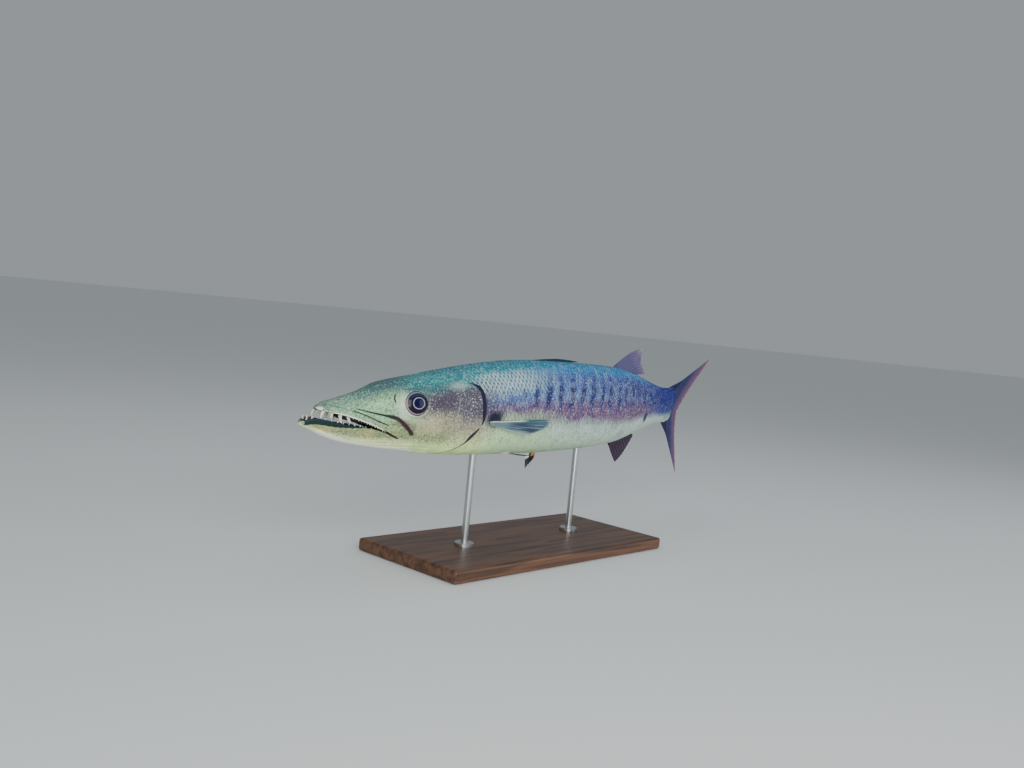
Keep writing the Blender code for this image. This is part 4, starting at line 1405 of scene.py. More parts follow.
        # Dark rim of the gill cover with painted shadow under its edge, widest at its lower edge.
        wide = 0.20 + 0.42 * ease((degrees - 46) / 10) * ease((100 - degrees) / 12)
        wide = wide + 0.50 * bump(degrees - 116, 8)
        border = bump(np.maximum(gap - wide, 0), 0.13) * (gap > -0.2) * RELIEF.edge_share(down)
        border = np.maximum(border * (1 - 0.8 * bump(degrees - 103, 3)), under)
        arc = bump(station - between(RELIEF.preopercle, degrees) + 0.35, 0.15)
        arc = arc * ease((degrees - 60) / 10) * ease((128 - degrees) / 12)
        return np.stack((border, arc), -1)

    def sheet(self, jaw: Jaw) -> tuple[Piece, Array]:
        """Makes the upper or the lower sheet.

        Args:
            jaw: Which one.

        Returns:
            The sheet and its grid of points.
        """
        station, angle, lift, under = self.sheet_grid(jaw)
        lift = lift + self.lip_swell(station, angle, jaw)
        points = self.lifted(station, angle, lift, jaw)
        if jaw is Jaw.LOWER:
            first = points[0].mean(axis=0)
            points = np.vstack((np.broadcast_to(first, points[:1].shape), points))
            station, angle, under = (np.vstack((grid[:1], grid)) for grid in (station, angle, under))
        cap = FORM.place(self.size.trunk_end, 0.0, -0.1)
        points = np.vstack((points, np.broadcast_to(cap, points[:1].shape)))
        station, angle, under = (np.vstack((grid, grid[-1:])) for grid in (station, angle, under))
        made = shaped_grid(f"skin {jaw.word} sheet", points)
        maps = {
            "BodyMap": np.stack((station / 100, folded(angle) / math.pi), -1),
            "TrimMap": self.trim(station, angle, jaw),
            "BorderMap": self.cover_border(station, angle, under),
        }
        for name, values in maps.items():
            write_map(made, name, values.reshape(-1, 2))
        return made, points

    def palate(self, stations: Array, share: Array) -> Array:
        """The palate's arch over the upper lip, with a keel hanging from it on either side.

        Args:
            stations: In percent.
            share: Shares of the way across, 0 to 1.

        Returns:
            Rows of heights, in percent.
        """
        size = self.size
        lip = between(FORM.upper_lip, stations)
        arch = size.palate * (FORM.back(stations) - lip) * ease(stations / 1.5)
        arch = arch * ease((FORM.mouth_corner - stations) / 5)
        keel = size.keel_depth * (lip - between(FORM.lower_lip, stations))
        keel = keel * ease((stations - 3.6) / 1.6) * ease((FORM.mouth_corner - stations) / 1.5)
        keels = np.maximum.reduce([bump(share - at, wide) for at, wide in size.palate_keels])
        return arch[:, None] - (arch + keel)[:, None] * keels[None, :]

    def floor(self, stations: Array) -> Array:
        """The trough between the halves of the lower jaw, under its lip.

        Args:
            stations: In percent.

        Returns:
            A column of heights, in percent.
        """
        size = self.size
        room = size.floor_share * (between(FORM.lower_lip, stations) - FORM.belly(stations))
        deep = size.trough * ease((12.6 - stations) / 4) * ease((stations + 2.4) / 2)
        return -np.minimum(deep, room)[:, None]

    def lining(self, jaw: Jaw, points: Array) -> Piece:
        """Makes the palate or the mouth's floor between the sheet's two lips.

        Args:
            jaw: Which jaw.
            points: The sheet's grid of points.

        Returns:
            The lining, with its borders on the lips.
        """
        size = self.size
        stations = self.mouth_stations if jaw is Jaw.UPPER else self.low_stations
        rows = points[: len(stations)] if jaw is Jaw.UPPER else points[: len(stations) + 1]
        if jaw is Jaw.LOWER:
            stations = np.r_[stations[0], stations]
        share = 0.5 - 0.5 * np.cos(math.pi * np.linspace(0, 1, size.lining_columns))
        left, right = (rows[:, -1], rows[:, 0]) if jaw is Jaw.UPPER else (rows[:, 0], rows[:, -1])
        grid = left[:, None] + (right - left)[:, None] * share[None, :, None]
        width = np.linalg.norm(right - left, axis=-1)[:, None]
        near = np.minimum(share, 1 - share)[None, :] * width / MM
        profile = 1 - (2 * share[None, :] - 1) ** 4
        bead = size.bead * bump(near - 0.9, 0.8) * (1 - np.exp(-near / 0.35))
        bead = bead * ease(width / MM / 6) * ease((FORM.mouth_corner - stations) / 2)[:, None]
        rise = self.palate(stations, share) if jaw is Jaw.UPPER else self.floor(stations)
        grid[..., 2] += rise * FORM.percent * profile + jaw.value * bead
        made = shaped_grid(f"mouth lining {jaw.word}", grid)
        spot = np.broadcast_to((stations / 100)[:, None], grid.shape[:2])
        write_map(made, "BodyMap", np.stack((spot, spot), -1).reshape(-1, 2))
        return made

    def build(self, hide: Finish, mouth: Finish) -> Piece:
        """Makes the skin, with one slot for the hide and one for the mouth's lining.

        Args:
            hide: Material of the outside.
            mouth: Material of the mouth.

        Returns:
            The piece.
        """
        pieces = []
        for jaw in Jaw:
            outer, points = self.sheet(jaw)
            outer.data.materials.append(hide)
            inner = self.lining(jaw, points)
            inner.data.materials.append(mouth)
            pieces += [outer, inner]
        only(*pieces)
        bpy.ops.object.join()
        skin = bpy.context.object
        skin.name = skin.data.name = "skin"
        close_up(skin, 2e-6)
        bpy.ops.object.shade_smooth()
        return hand_over(skin, "skin", "head", "lower_jaw", "gill_cover_left", "gill_cover_right",
                         "trunk_front", "trunk_rear", "tail_stalk")


@dataclass(frozen=True)
class ScaleSize:
    """Sizes of the scales and of their rows."""

    rows_above: int = 10
    rows_below: int = 15
    first_station: float = 19.5
    last_station: float = 98.3
    pitch: Table = ((19, 0.80), (30, 0.87), (60, 0.89), (80, 0.72), (98, 0.56))
    line: Table = ((20, 3.9), (28, 3.6), (45, 2.6), (60, 1.8), (80, 0.8), (99, 0.1))
    start: Table = (
        (0, 20.0), (24, 21.0), (40, 24.0), (47, 26.1), (55, 28.1), (63, 28.8), (76, 29.2),
        (89, 29.3), (97, 29.1), (109, 28.1), (124, 26.7), (138, 25.1), (150, 23.8), (172, 21.4),
        (180, 20.9),
    )
    reach: tuple = (-0.90, -0.30, 0.22, 0.52, 0.66)
    width: tuple = (0.55, 0.93, 1.0, 0.74, 0.30)
    across: tuple = (-1.0, -0.42, 0.42, 1.0)
    half_width: float = 0.74
    low_lift: float = -0.95 * MM
    high_lift: float = 0.35 * MM
    thickness: float = 0.35 * MM
    dome: float = 0.30 * MM
    tilt: float = 0.05
    vary_place: float = 0.035
    vary_size: float = 0.05
    vary_lift: float = 0.10 * MM
    patch: float = 0.0015
    bake_start: float = -3.0
    bake_length: float = 106.0
    bake_round: float = 6.9


class ScaleCoat:
    """Overlapping scales on one side of the trunk, from the nape and gill cover to the tail.

    A plate's top is a grid of five rows of four points; its underside has the rim and a middle.
    """

    RIM = (0, 1, 2, 3, 7, 11, 15, 19, 18, 17, 16, 12, 8, 4)
    MIDDLE = 9

    def __init__(self, side: Side, size: ScaleSize = ScaleSize()) -> None:
        """Keeps the side and the sizes, and seeds the scales' small differences."""
        self.side = side
        self.size = size
        self.lottery = np.random.default_rng(7 + side.value)

    def columns(self) -> Array:
        """Stations of the scale columns, closer together towards the tail.

        Returns:
            The stations.
        """
        stations = [self.size.first_station]
        while stations[-1] < self.size.last_station:
            stations.append(stations[-1] + float(between(self.size.pitch, stations[-1])))
        return np.array(stations)

    def ring(self, station: float) -> tuple[Array, Array, float]:
        """Angles, their arc lengths from the back in percent, and the lateral line's arc.

        Args:
            station: In percent.

        Returns:
            Angles, arc lengths and one arc length.
        """
        angle = np.linspace(0, math.pi, 181)
        across, height = FORM.section(np.full(181, station), angle)
        arc = np.r_[0, np.cumsum(np.hypot(np.diff(across), np.diff(height)))]
        line = FORM.angle_at(np.asarray(station), between(self.size.line, station))
        return angle, arc, float(np.interp(line, angle, arc))

    def centres(self) -> Array:
        """Station, angle, pitch along, pitch round and row number of each scale.

        Returns:
            One row for each scale.
        """
        size = self.size
        columns = self.columns()
        found = []
        for index in range(2 * len(columns) - 2):
            station = float(np.interp(index / 2, np.arange(len(columns)), columns))
            angle, arc, line = self.ring(station)
            up, down = line / (size.rows_above + 0.5), (arc[-1] - line) / (size.rows_below + 0.5)
            for row in range(-size.rows_above, size.rows_below + 1):
                if (row + index) % 2:
                    continue
                pitch = up if row < 0 else down if row > 0 else (up + down) / 2
                at = float(np.interp(line + row * (up if row < 0 else down), arc, angle))
                if station < float(between(size.start, math.degrees(at))):
                    continue
                along = float(between(size.pitch, station))
                found.append((station, at, along, pitch, row))
        return np.array(found)

    def build(self, finish: Finish) -> Piece:
        """Makes the coat as one mesh of closed plates.

        Args:
            finish: Its material.

        Returns:
            The piece.
        """
        size = self.size
        centre = self.centres()
        rows, columns = len(size.reach), len(size.across)
        along, tall = np.meshgrid(range(rows), range(columns), indexing="ij")
        reach = np.array(size.reach)[along].ravel()
        wide = (np.array(size.width)[along] * np.array(size.across)[tall]).ravel() * size.half_width
        slope = (reach - reach.min()) / (reach.max() - reach.min())
        s, a, lift = self.laid(centre, reach, wide, slope)
        signed = a * self.side.value
        top = FORM.skin(s, signed, lift)
        under = [*self.RIM, self.MIDDLE]
        low = FORM.skin(s, signed, lift - size.thickness)
        points = np.concatenate((top, low[:, under]), axis=1)
        faces = self.faces(rows, columns)
        if self.side is Side.RIGHT:
            faces = faces[:, ::-1]
        first = points.shape[1] * np.arange(len(centre))
        every = (faces[None] + first[:, None, None]).reshape(-1, 3)
        made = add_mesh(f"scales_{self.side.word}", points.reshape(-1, 3), every)
        picked = list(range(rows * columns)) + under
        self.write_maps(made, s[:, picked], a[:, picked], slope[picked], reach[picked], wide[picked])
        made.data.materials.append(finish)
        only(made)
        bpy.ops.object.shade_smooth_by_angle(angle=math.radians(40))
        return hand_over(made, "skin")

    def laid(self, centre: Array, reach: Array, wide: Array,
             slope: Array) -> tuple[Array, Array, Array]:
        """Stations, angles and lifts of all scales' points, each scale a little different.

        Args:
            centre: One row for each scale, as centres gives them.
            reach: The points' places along a scale.
            wide: The points' places across a scale.
            slope: Share of the way back along a scale.

        Returns:
            Three grids with a row for each scale.
        """
        size = self.size
        jitter = self.lottery.normal(0, 1, (len(centre), 4))
        round_pitch = centre[:, 3:4]
        station = centre[:, 0] + size.vary_place * centre[:, 2] * jitter[:, 0]
        speed = self.arc_speed(station, centre[:, 1])[:, None]
        grow = 1 + size.vary_size * jitter[:, 1:2]
        ds = reach * centre[:, 2:3] * grow
        da = wide * round_pitch * grow / speed
        turn = size.tilt * jitter[:, 2:3]
        s = station[:, None] + ds - turn * wide * round_pitch
        a = centre[:, 1:2] + da + turn * ds / speed
        lift = size.low_lift + (size.high_lift - size.low_lift) * slope
        lift = lift + size.vary_lift * jitter[:, 3:4] + size.dome * (1 - wide**2 * 1.6) * 0.5
        return s, a, lift + RELIEF.lift(s, a, with_cover=False) * (s < 26)

    def arc_speed(self, station: Array, angle: Array) -> Array:
        """Percent of arc for each radian round the body."""
        one = FORM.section(station, angle - 0.02)
        two = FORM.section(station, angle + 0.02)
        return np.maximum(np.hypot(two[0] - one[0], two[1] - one[1]) / 0.04, 0.4)

    def faces(self, rows: int, columns: int) -> Array:
        """Triangles of one plate: its top, its walls and its underside.

        Args:
            rows: Rows of points on the top.
            columns: Points in a row.

        Returns:
            Three point numbers for each face.
        """
        found = []
        for a, b, c, d in grid_faces(rows, columns):
            found += [(a, b, c), (a, c, d)]
        rim, count, top = self.RIM, len(self.RIM), rows * columns
        for k in range(count):
            after = (k + 1) % count
            found += [(rim[after], rim[k], top + k), (rim[after], top + k, top + after)]
            found.append((top + after, top + k, top + count))
        return np.array(found)

    def write_maps(self, made: Piece, station: Array, angle: Array, slope: Array,
                   reach: Array, wide: Array) -> None:
        """Stores the body map, each scale's tone and its patch on the unwrapped skin.

        Args:
            made: The coat.
            station: Stations of each scale's points.
            angle: Angles of each scale's points.
            slope: Share of the way back along a scale.
            reach: The points' places along a scale.
            wide: The points' places across a scale.
        """
        size = self.size
        tone = self.lottery.random((len(station), 1))
        body = np.stack((station / 100, folded(angle) / math.pi), -1)
        write_map(made, "BodyMap", body.reshape(-1, 2))
        tones = np.stack((np.broadcast_to(tone, station.shape),
                          np.broadcast_to(slope, station.shape)), -1)
        write_map(made, "ToneMap", tones.reshape(-1, 2))
        root = np.stack(((station[:, :1] - size.bake_start) / size.bake_length,
                         0.5 + self.side.value * angle[:, :1] / size.bake_round), -1)
        patch = np.stack((reach / 0.9, wide / size.half_width), -1) * size.patch
        write_map(made, "OFBake", (root + patch[None]).reshape(-1, 2))


@dataclass(frozen=True)
class FinCut:
    """One fin: its CAD nodes, its rays and how thick it is.

    Attributes:
        name: The piece's name.
        nodes: CAD nodes it stands for.
        rays: How many rays it has.
        root_half: Half its thickness at the root, in metres.
        spots: One function for each blade, from u (first ray to last) and v (root to margin).
        sunk: Share of the blade that continues into the body.
        branch: Share of the way out at which a ray starts to fork.
        notch: How far the web draws back between the rays, as a share of the blade.
        thick_root: Share of the blade over which the root's thickness fades.
    """

    name: str
    nodes: tuple
    rays: int
    root_half: float
    spots: tuple
    sunk: float = 0.05
    branch: float = 0.4
    notch: float = 0.03
    thick_root: float = 0.35


@dataclass(frozen=True)
class BladeSize:
    """How fine a fin's mesh is, and how thick and wide its web and rays are.

    Half thicknesses are in metres at the root; widths and the fork are shares of a ray's room.
    """

    per_ray: int = 12
    rows: int = 40
    web: float = 0.30 * MM
    ray: float = 0.42 * MM
    first_ray: float = 0.55 * MM
    ray_width: float = 0.15
    branch_width: float = 0.10
    fork: float = 0.26
    rounding: float = 1.6


class Fin:
    """A fin as closed blades with raised, forked rays and a scalloped margin."""

    def __init__(self, cut: FinCut, size: BladeSize = BladeSize()) -> None:
        """Keeps the cut and the sizes."""
        self.cut = cut
        self.size = size

    def ridges(self, u: Array, v: Array) -> Array:
        """How much of a raised ray is at a place on the blade.

        Args:
            u: First ray, 0, to last, 1.
            v: Root, 0, to margin, 1.

        Returns:
            Shares from 0 to 1.
        """
        cut, size = self.cut, self.size
        across = u * cut.rays
        centre = np.floor(np.clip(across, 0, cut.rays - 1e-6)) + 0.5
        fork = size.fork * ease((v - cut.branch) / 0.5)
        thinner = (size.ray_width - size.branch_width) * ease((v - cut.branch) / 0.4)
        width = size.ray_width - thinner
        offset = across - centre
        return np.maximum(bump(offset - fork, width), bump(offset + fork, width))

    def half_thickness(self, u: Array, v: Array) -> Array:
        """Half the blade's thickness, in metres.

        Args:
            u: First ray, 0, to last, 1.
            v: Root, 0, to margin, 1.

        Returns:
            Metres.
        """
        root = self.cut.root_half * (1 - ease(v / self.cut.thick_root)) ** 1.5
        web = self.size.web * (1 - 0.45 * v)
        ray = self.size.ray * (1 - 0.6 * v) * self.ridges(u, v)
        lead = self.size.first_ray * (1 - 0.5 * v) * bump(u, 0.035)
        return root + web + ray + lead

    def blade(self, number: int, spot: Blade) -> Piece:
        """Makes one blade as two faces sewn together round their border.

        Args:
            number: The blade's number.
            spot: World points from u and v.

        Returns:
            The blade, still open at its root.
        """
        cut, size = self.cut, self.size
        columns = cut.rays * size.per_ray + 1
        u, rise = np.meshgrid(np.linspace(0, 1, columns), np.linspace(0, 1, size.rows))
        notch = cut.notch * (0.5 + 0.5 * np.cos(2 * math.pi * u * cut.rays))
        v = -cut.sunk + (1 + cut.sunk - notch) * rise
        middle = spot(u, v)
        du, dv = 1e-3, 1e-3
        across = spot(u + du, v) - spot(u - du, v)
        out = spot(u, v + dv) - spot(u, v - dv)
        side = np.cross(across, out)
        side = side / np.maximum(np.linalg.norm(side, axis=-1, keepdims=True), 1e-12)
        beyond = np.maximum(v, 0)
        half = self.half_thickness(u, beyond)
        inside = np.minimum.reduce((u * columns, (1 - u) * columns, (1 - rise) * size.rows))
        half = half * np.clip(inside / size.rounding, 0.0, 1.0) ** 0.5
        faces = grid_faces(size.rows, columns)
        points = np.concatenate((middle + side * half[..., None], middle - side * half[..., None]))
        both = np.vstack((faces, faces[:, ::-1] + u.size))
        made = add_mesh(f"{cut.name} blade {number}", points.reshape(-1, 3), both)
        ridge = self.ridges(u, beyond)
        for name, pair in (("FinMap", (u, beyond)), ("RidgeMap", (ridge, ridge))):
            values = np.stack(pair, -1).reshape(-1, 2)
            write_map(made, name, np.vstack((values, values)))
        return made

    def build(self, finish: Finish) -> Piece:
        """Makes the fin from its blades.

        Args:
            finish: Its material.

        Returns:
            The piece.
        """
        blades = [self.blade(i, spot) for i, spot in enumerate(self.cut.spots)]
        for blade in blades:
            blade.data.materials.append(finish)
            close_up(blade, fill=True)
        only(*blades)
        if len(blades) > 1:
            bpy.ops.object.join()
        fin = bpy.context.object
        fin.name = fin.data.name = self.cut.name
        bpy.ops.object.shade_smooth_by_angle(angle=math.radians(50))
        return hand_over(fin, "fin", *self.cut.nodes)


def bezier(ends: Table, t: Array, column: int) -> Array:
    """One coordinate of a curve with three controls."""
    a, b, c = (end[column] for end in ends)
    return a * (1 - t) ** 2 + 2 * b * t * (1 - t) + c * t * t


def middle_blade(root: Callable, margin: Table, bow: float, wave: float) -> Blade:
    """A blade in the fish's middle plane.

    Args:
        root: From u to the station and height where the ray leaves the body.
        margin: Three controls of the outer edge.
        bow: How far the first ray bows out, in percent.
        wave: How far the blade waves to either side at its margin, in percent.

    Returns:
        A function from u and v to world points.
    """

    def spot(u: Array, v: Array) -> Array:
        """The world points at u and v."""
        s0, z0 = root(u)
        s1, z1 = bezier(margin, u, 0), bezier(margin, u, 1)
        rise = np.maximum(v, 0)
        across = wave * rise**1.5 * np.sin(5.5 * u + 1.4 * rise)
        height = z0 + (z1 - z0) * v + bow * (1 - u) * 4 * rise * (1 - rise)
        return FORM.place(s0 + (s1 - s0) * v, across, height)

    return spot


def back_root(start: float, end: float, column: int, sink: float) -> Callable:
    """Root line of a fin along the back (column 1) or the belly (column 2).

    Args:
        start: Station of the first ray.
        end: Station of the last ray.
        column: Column of the outline.
        sink: Height added, in percent.

    Returns:
        A function from u to station and height.
    """

    def root(u: Array) -> tuple[Array, Array]:
        """Station and height of the root at u."""
        station = start + (end - start) * u
        return station, between(FORM.outline, station, column) + sink

    return root


def tail_blade(outer: float, tip: Table, middle: Table, bow: float) -> Blade:
    """One lobe of the tail fin, from its outer ray to the fork.

    Args:
        outer: Height of the first ray's root.
        tip: Station and height of the tip.
        middle: Control of the rear margin.
        bow: How far the first ray bows out.

    Returns:
        World points from u and v.
    """
    root_station, inner, fork = 98.2, -0.3, (105.0, -1.6)

    def root(u: Array) -> tuple[Array, Array]:
        """Station and height of the root at u."""
        return np.full_like(u, root_station), outer + (inner - outer) * u

    return middle_blade(root, (tip, middle, fork), bow, 0.10)


def pectoral_blade(side: Side) -> Blade:
    """A pectoral fin laid back along the flank.

    Args:
        side: Which side of the fish.

    Returns:
        World points from u and v.
    """
    root_station, first_ray = 31.5, 12.6
    root_degrees, root_span, fan = 98.0, 5.0, 12.5

    def spot(u: Array, v: Array) -> Array:
        """The world points at u and v."""
        rise = np.maximum(v, 0)
        length = first_ray * (1 - 0.50 * np.maximum(u, 0) ** 2.4)
        station = root_station + 0.5 * u + length * v
        degrees = root_degrees + root_span * u
        degrees = degrees + (-0.5 + fan * np.maximum(u, 0) ** 0.8) * rise**0.8
        lift = 0.0004 + 0.0040 * ease((v + 0.05) / 0.3) + 0.0045 * rise
        lift = np.where(v < 0, lift - 0.05 * -v, lift)
        return FORM.skin(station, side.value * np.radians(degrees), lift)

    return spot


PELVIC_ROOT, PELVIC_SPAN = 38.0, 2.4


def folded_pelvic(side: Side) -> Blade:
    """A pelvic fin folded to the belly.

    Args:
        side: Which side of the fish.

    Returns:
        World points from u and v.
    """
    tip_station = 45.0

    def spot(u: Array, v: Array) -> Array:
        """The world points at u and v."""
        rise = v[..., None]
        station, reach = PELVIC_ROOT + PELVIC_SPAN * u, tip_station - 1.9 * u
        angle = side.value * np.radians(158 + 6 * u)
        root = FORM.skin(station, angle, 0.0004)
        end = FORM.skin(reach, side.value * np.radians(161 + 5 * u), 0.0062 - 0.0016 * u)
        bulge = FORM.skin((station + reach) / 2, angle, 0.0042) - (root + end) / 2
        return root + (end - root) * rise + bulge * 4 * rise * (1 - rise)

    return spot


def lowered_pelvic(side: Side) -> Blade:
    """A pelvic fin that follows the belly and hangs down at its end.

    Args:
        side: Which side of the fish.

    Returns:
        World points from u and v.
    """
    along_belly, first_drop, last_drop = 9.9, 24.0 * MM, 7.5 * MM

    def spot(u: Array, v: Array) -> Array:
        """The world points at u and v."""
        rise = np.maximum(v, 0)
        start = 158 + 6 * u
        degrees = start + (176 - start) * rise
        lift = 0.0004 + 0.0024 * ease(rise / 0.2) + 0.0012 * rise + 0.04 * np.minimum(v, 0)
        along, hang = np.minimum(rise / 0.62, 1), np.maximum(rise - 0.55, 0) / 0.45
        station = PELVIC_ROOT + PELVIC_SPAN * u + along_belly * along * (2 - along)
        station = station - 0.9 * hang + 10 * np.minimum(v, 0)
        hug = FORM.skin(station, side.value * np.radians(degrees), lift)
        drop = (first_drop + (last_drop - first_drop) * u) * hang**1.2
        return hug - drop[..., None] * np.array((0.0, 0.0, 1.0))

    return spot


def fin_cuts() -> list[tuple[FinCut, FinWeb]]:
    """All fins with their finishes.

    Returns:
        Each fin's cut and its finish.
    """
    back, belly = 1, 2
    on_ray, blotted = (("ray", 0, 1),), (("stir", 0.4, 0.7),)
    dusky = FinWeb("#48446c", (Layer("#7c7296", 0.9, on_ray),
                               Layer("#56528a", 0.6, blotted),
                               Layer("#8a7686", 0.55, (("out", 0.45, 0.95), ("stir", 0.35, 0.6))),
                               Layer("#9a94a4", 0.9, (("edge", 0.94, 1.12),))))
    furled = FinWeb("#0b2a44", (Layer("#163a56", 1.0, on_ray),))
    anal = FinWeb("#22132a", (Layer("#4c3452", 1.0, on_ray),
                              Layer("#261628", 0.5, blotted),
                              Layer("#5c4c5c", 0.8, (("edge", 1.02, 1.14),))))
    tail = FinWeb("#0b1350", (Layer("#2c2c66", 1.0, on_ray),
                              Layer("#123056", 0.5, blotted),
                              Layer("#74527c", 0.62, (("edge", 0.50, 0.85),)),
                              Layer("#b06a62", 0.50, (("edge", 0.92, 1.06),))))
    pectoral = FinWeb("#6f858e", (
        Layer("#8fa5a8", 0.5, on_ray),
        Layer("#1d2b4c", 0.88, (("streak", 0.36, 0.54), ("out", 0.12, 0.40), ("back", 0.96, 0.78))),
        Layer("#28606e", 0.40, (("out", 0.30, 0.55), ("back", 0.45, 0.15))),
        Layer("#a8bfae", 0.55, (("back", 0.80, 1.0),)),
        Layer("#93ada6", 0.6, (("edge", 1.00, 1.12),)),
        Layer("#f2f6ea", 0.9, (("back", 0.10, 0.03), ("out", 0.62, 0.40)))))
    # The left pelvic fin's front half is near black: painted shadow of the gap between the folded fin
    # and the belly.
    pelvic = FinWeb("#b9b5a2", (Layer("#d6d2bd", 0.7, on_ray),
                                Layer("#0a1014", 0.97, (("back", 0.60, 0.45), ("out", 0.05, 0.3)))))
    marked = FinWeb("#b7bea0", (
        Layer("#e8f0e4", 0.9, (("out", 0.48, 0.62), ("back", 0.50, 0.30))),
        Layer("#c98a58", 0.9, (("out", 0.52, 0.62), ("back", 0.50, 0.62))),
        Layer("#0c0e1c", 0.97, (("out", 0.74, 0.79), ("back", 0.98, 0.80))),
        Layer("#0c0e1c", 0.95, (("out", 0.58, 0.64), ("back", 0.30, 0.42), ("back", 0.62, 0.50)))))
    first = back_root(43.5, 54.5, back, -0.05)
    second = back_root(71.0, 79.6, back, -0.05)
    under = back_root(71.7, 80.6, belly, 0.05)
    crest = ((52.0, 8.98), (56.0, 8.95), (59.0, 8.58))
    sail = ((81.7, 11.9), (82.3, 9.2), (84.2, 6.8))
    keel = ((75.2, -11.0), (79.2, -9.7), (82.1, -5.9))
    lobes = (
        tail_blade(3.8, (119.9, 10.95), (110.0, 3.9), 0.2),
        tail_blade(-3.85, (118.3, -17.9), (107.4, -6.9), -0.35),
    )
    cuts = [
        (FinCut("fin_dorsal_first", ("dorsal_fin_first",), 5, 1.6 * MM,
                (middle_blade(first, crest, 0.06, 0.0),), 0.4, 2.0, 0.0), furled),
        (FinCut("fin_dorsal_second", ("dorsal_fin_second",), 10, 2.0 * MM,
                (middle_blade(second, sail, 0.75, 0.12),), 0.10), dusky),
        (FinCut("fin_anal", ("anal_fin",), 9, 2.0 * MM,
                (middle_blade(under, keel, -0.2, 0.10),), 0.10), anal),
        (FinCut("fin_tail", ("caudal_fin_upper", "caudal_fin_lower"), 9, 5.6 * MM, lobes,
                0.04, 0.3, 0.035, 0.30), tail),
    ]
    for side in Side:
        word = side.word
        cuts.append((FinCut(f"fin_pectoral_{word}", (f"pectoral_fin_{word}",), 12, 1.6 * MM,
                            (pectoral_blade(side),), 0.06, 0.45, 0.02), pectoral))
        blade = (lowered_pelvic if side is Side.RIGHT else folded_pelvic)(side)
        cuts.append((FinCut(f"fin_pelvic_{word}", (f"pelvic_fin_{word}",), 6, 1.2 * MM, (blade,),
                            0.10, 0.4, 0.04), marked if side is Side.RIGHT else pelvic))
    return cuts


@dataclass(frozen=True)
class EyeSize:
    """An eyeball's full length, height and depth, and how far its middle lies under the skin."""

    length: float = 41 * MM
    tall: float = 34.5 * MM
    deep: float = 20 * MM
    sunk: float = 5.0 * MM


class Eye:
    """One eyeball set in its socket."""

    def __init__(self, side: Side, size: EyeSize = EyeSize()) -> None:
        """Keeps the side and the sizes."""
        self.side = side
        self.size = size

    def build(self, finish: Finish) -> Piece:
        """Makes the eyeball.

        Args:
            finish: Its material.

        Returns:
            The piece.
        """
        size = self.size
        station = np.array(RELIEF.eye_station)
        angle = self.side.value * FORM.angle_at(station, np.array(RELIEF.eye_height))
        point, normal = FORM.skin(station, angle), Vector(FORM.normal(station, angle))
        ahead = Vector((-1, 0, 0))
        ahead = (ahead - normal * ahead.dot(normal)).normalized()
        up = normal.cross(ahead).normalized()
        bpy.ops.object.select_all(action="DESELECT")
        bpy.ops.mesh.primitive_uv_sphere_add(segments=96, ring_count=48, radius=1)
        eye = bpy.context.object
        eye.name = eye.data.name = f"eyeball_{self.side.word}"
        local = np.array([vertex.co[:] for vertex in eye.data.vertices])
        axes = Matrix((ahead * size.length / 2, up * size.tall / 2, normal * size.deep / 2))
        centre = Vector(point) - normal * size.sunk
        eye.data.transform(Matrix.Translation(centre) @ axes.transposed().to_4x4())
        radius = np.hypot(local[:, 0], local[:, 1]) + 2 * (local[:, 2] < 0)
        world_up = (up.z > 0) * 2 - 1
        write_map(eye, "EyeMap", np.stack((radius, local[:, 1] * world_up), -1))
        eye.data.materials.append(finish)
        bpy.ops.object.shade_smooth()
        return hand_over(eye, "eye", f"eye_{self.side.word}")


@dataclass(frozen=True)
class ToothRow:
    """Teeth along a lip: places in percent, lengths in metres.

    Attributes:
        first: Station of the first tooth.
        last: Station of the last tooth.
        count: Teeth on each side.
        longest: Length of the longest tooth.
        share: Distance from the middle plane as a share of the lip's.
        clear: Largest share of the gape that a tooth fills.
        lean: Lean of the teeth, forward where it is under zero.
        deeper: Height of the roots over the lip, in percent.
        lean_last: Lean of the last tooth, where it differs from the first.
    """

    first: float
    last: float
    count: int
    longest: float
    share: float
    clear: float
    lean: float
    deeper: float = 0.0
    lean_last: float | None = None


@dataclass(frozen=True)
class ToothSize:
    """Shape of a tooth: its rings, the part in the gum, its thickness, bend and flattening."""

    rings: int = 8
    sides: int = 8
    sunk: float = 1.6 * MM
    thick_share: float = 0.17
    thick_least: float = 0.35 * MM
    root_swell: float = 0.35
    bend: float = 0.10
    fore_and_aft: float = 1.15
    crosswise: float = 0.72


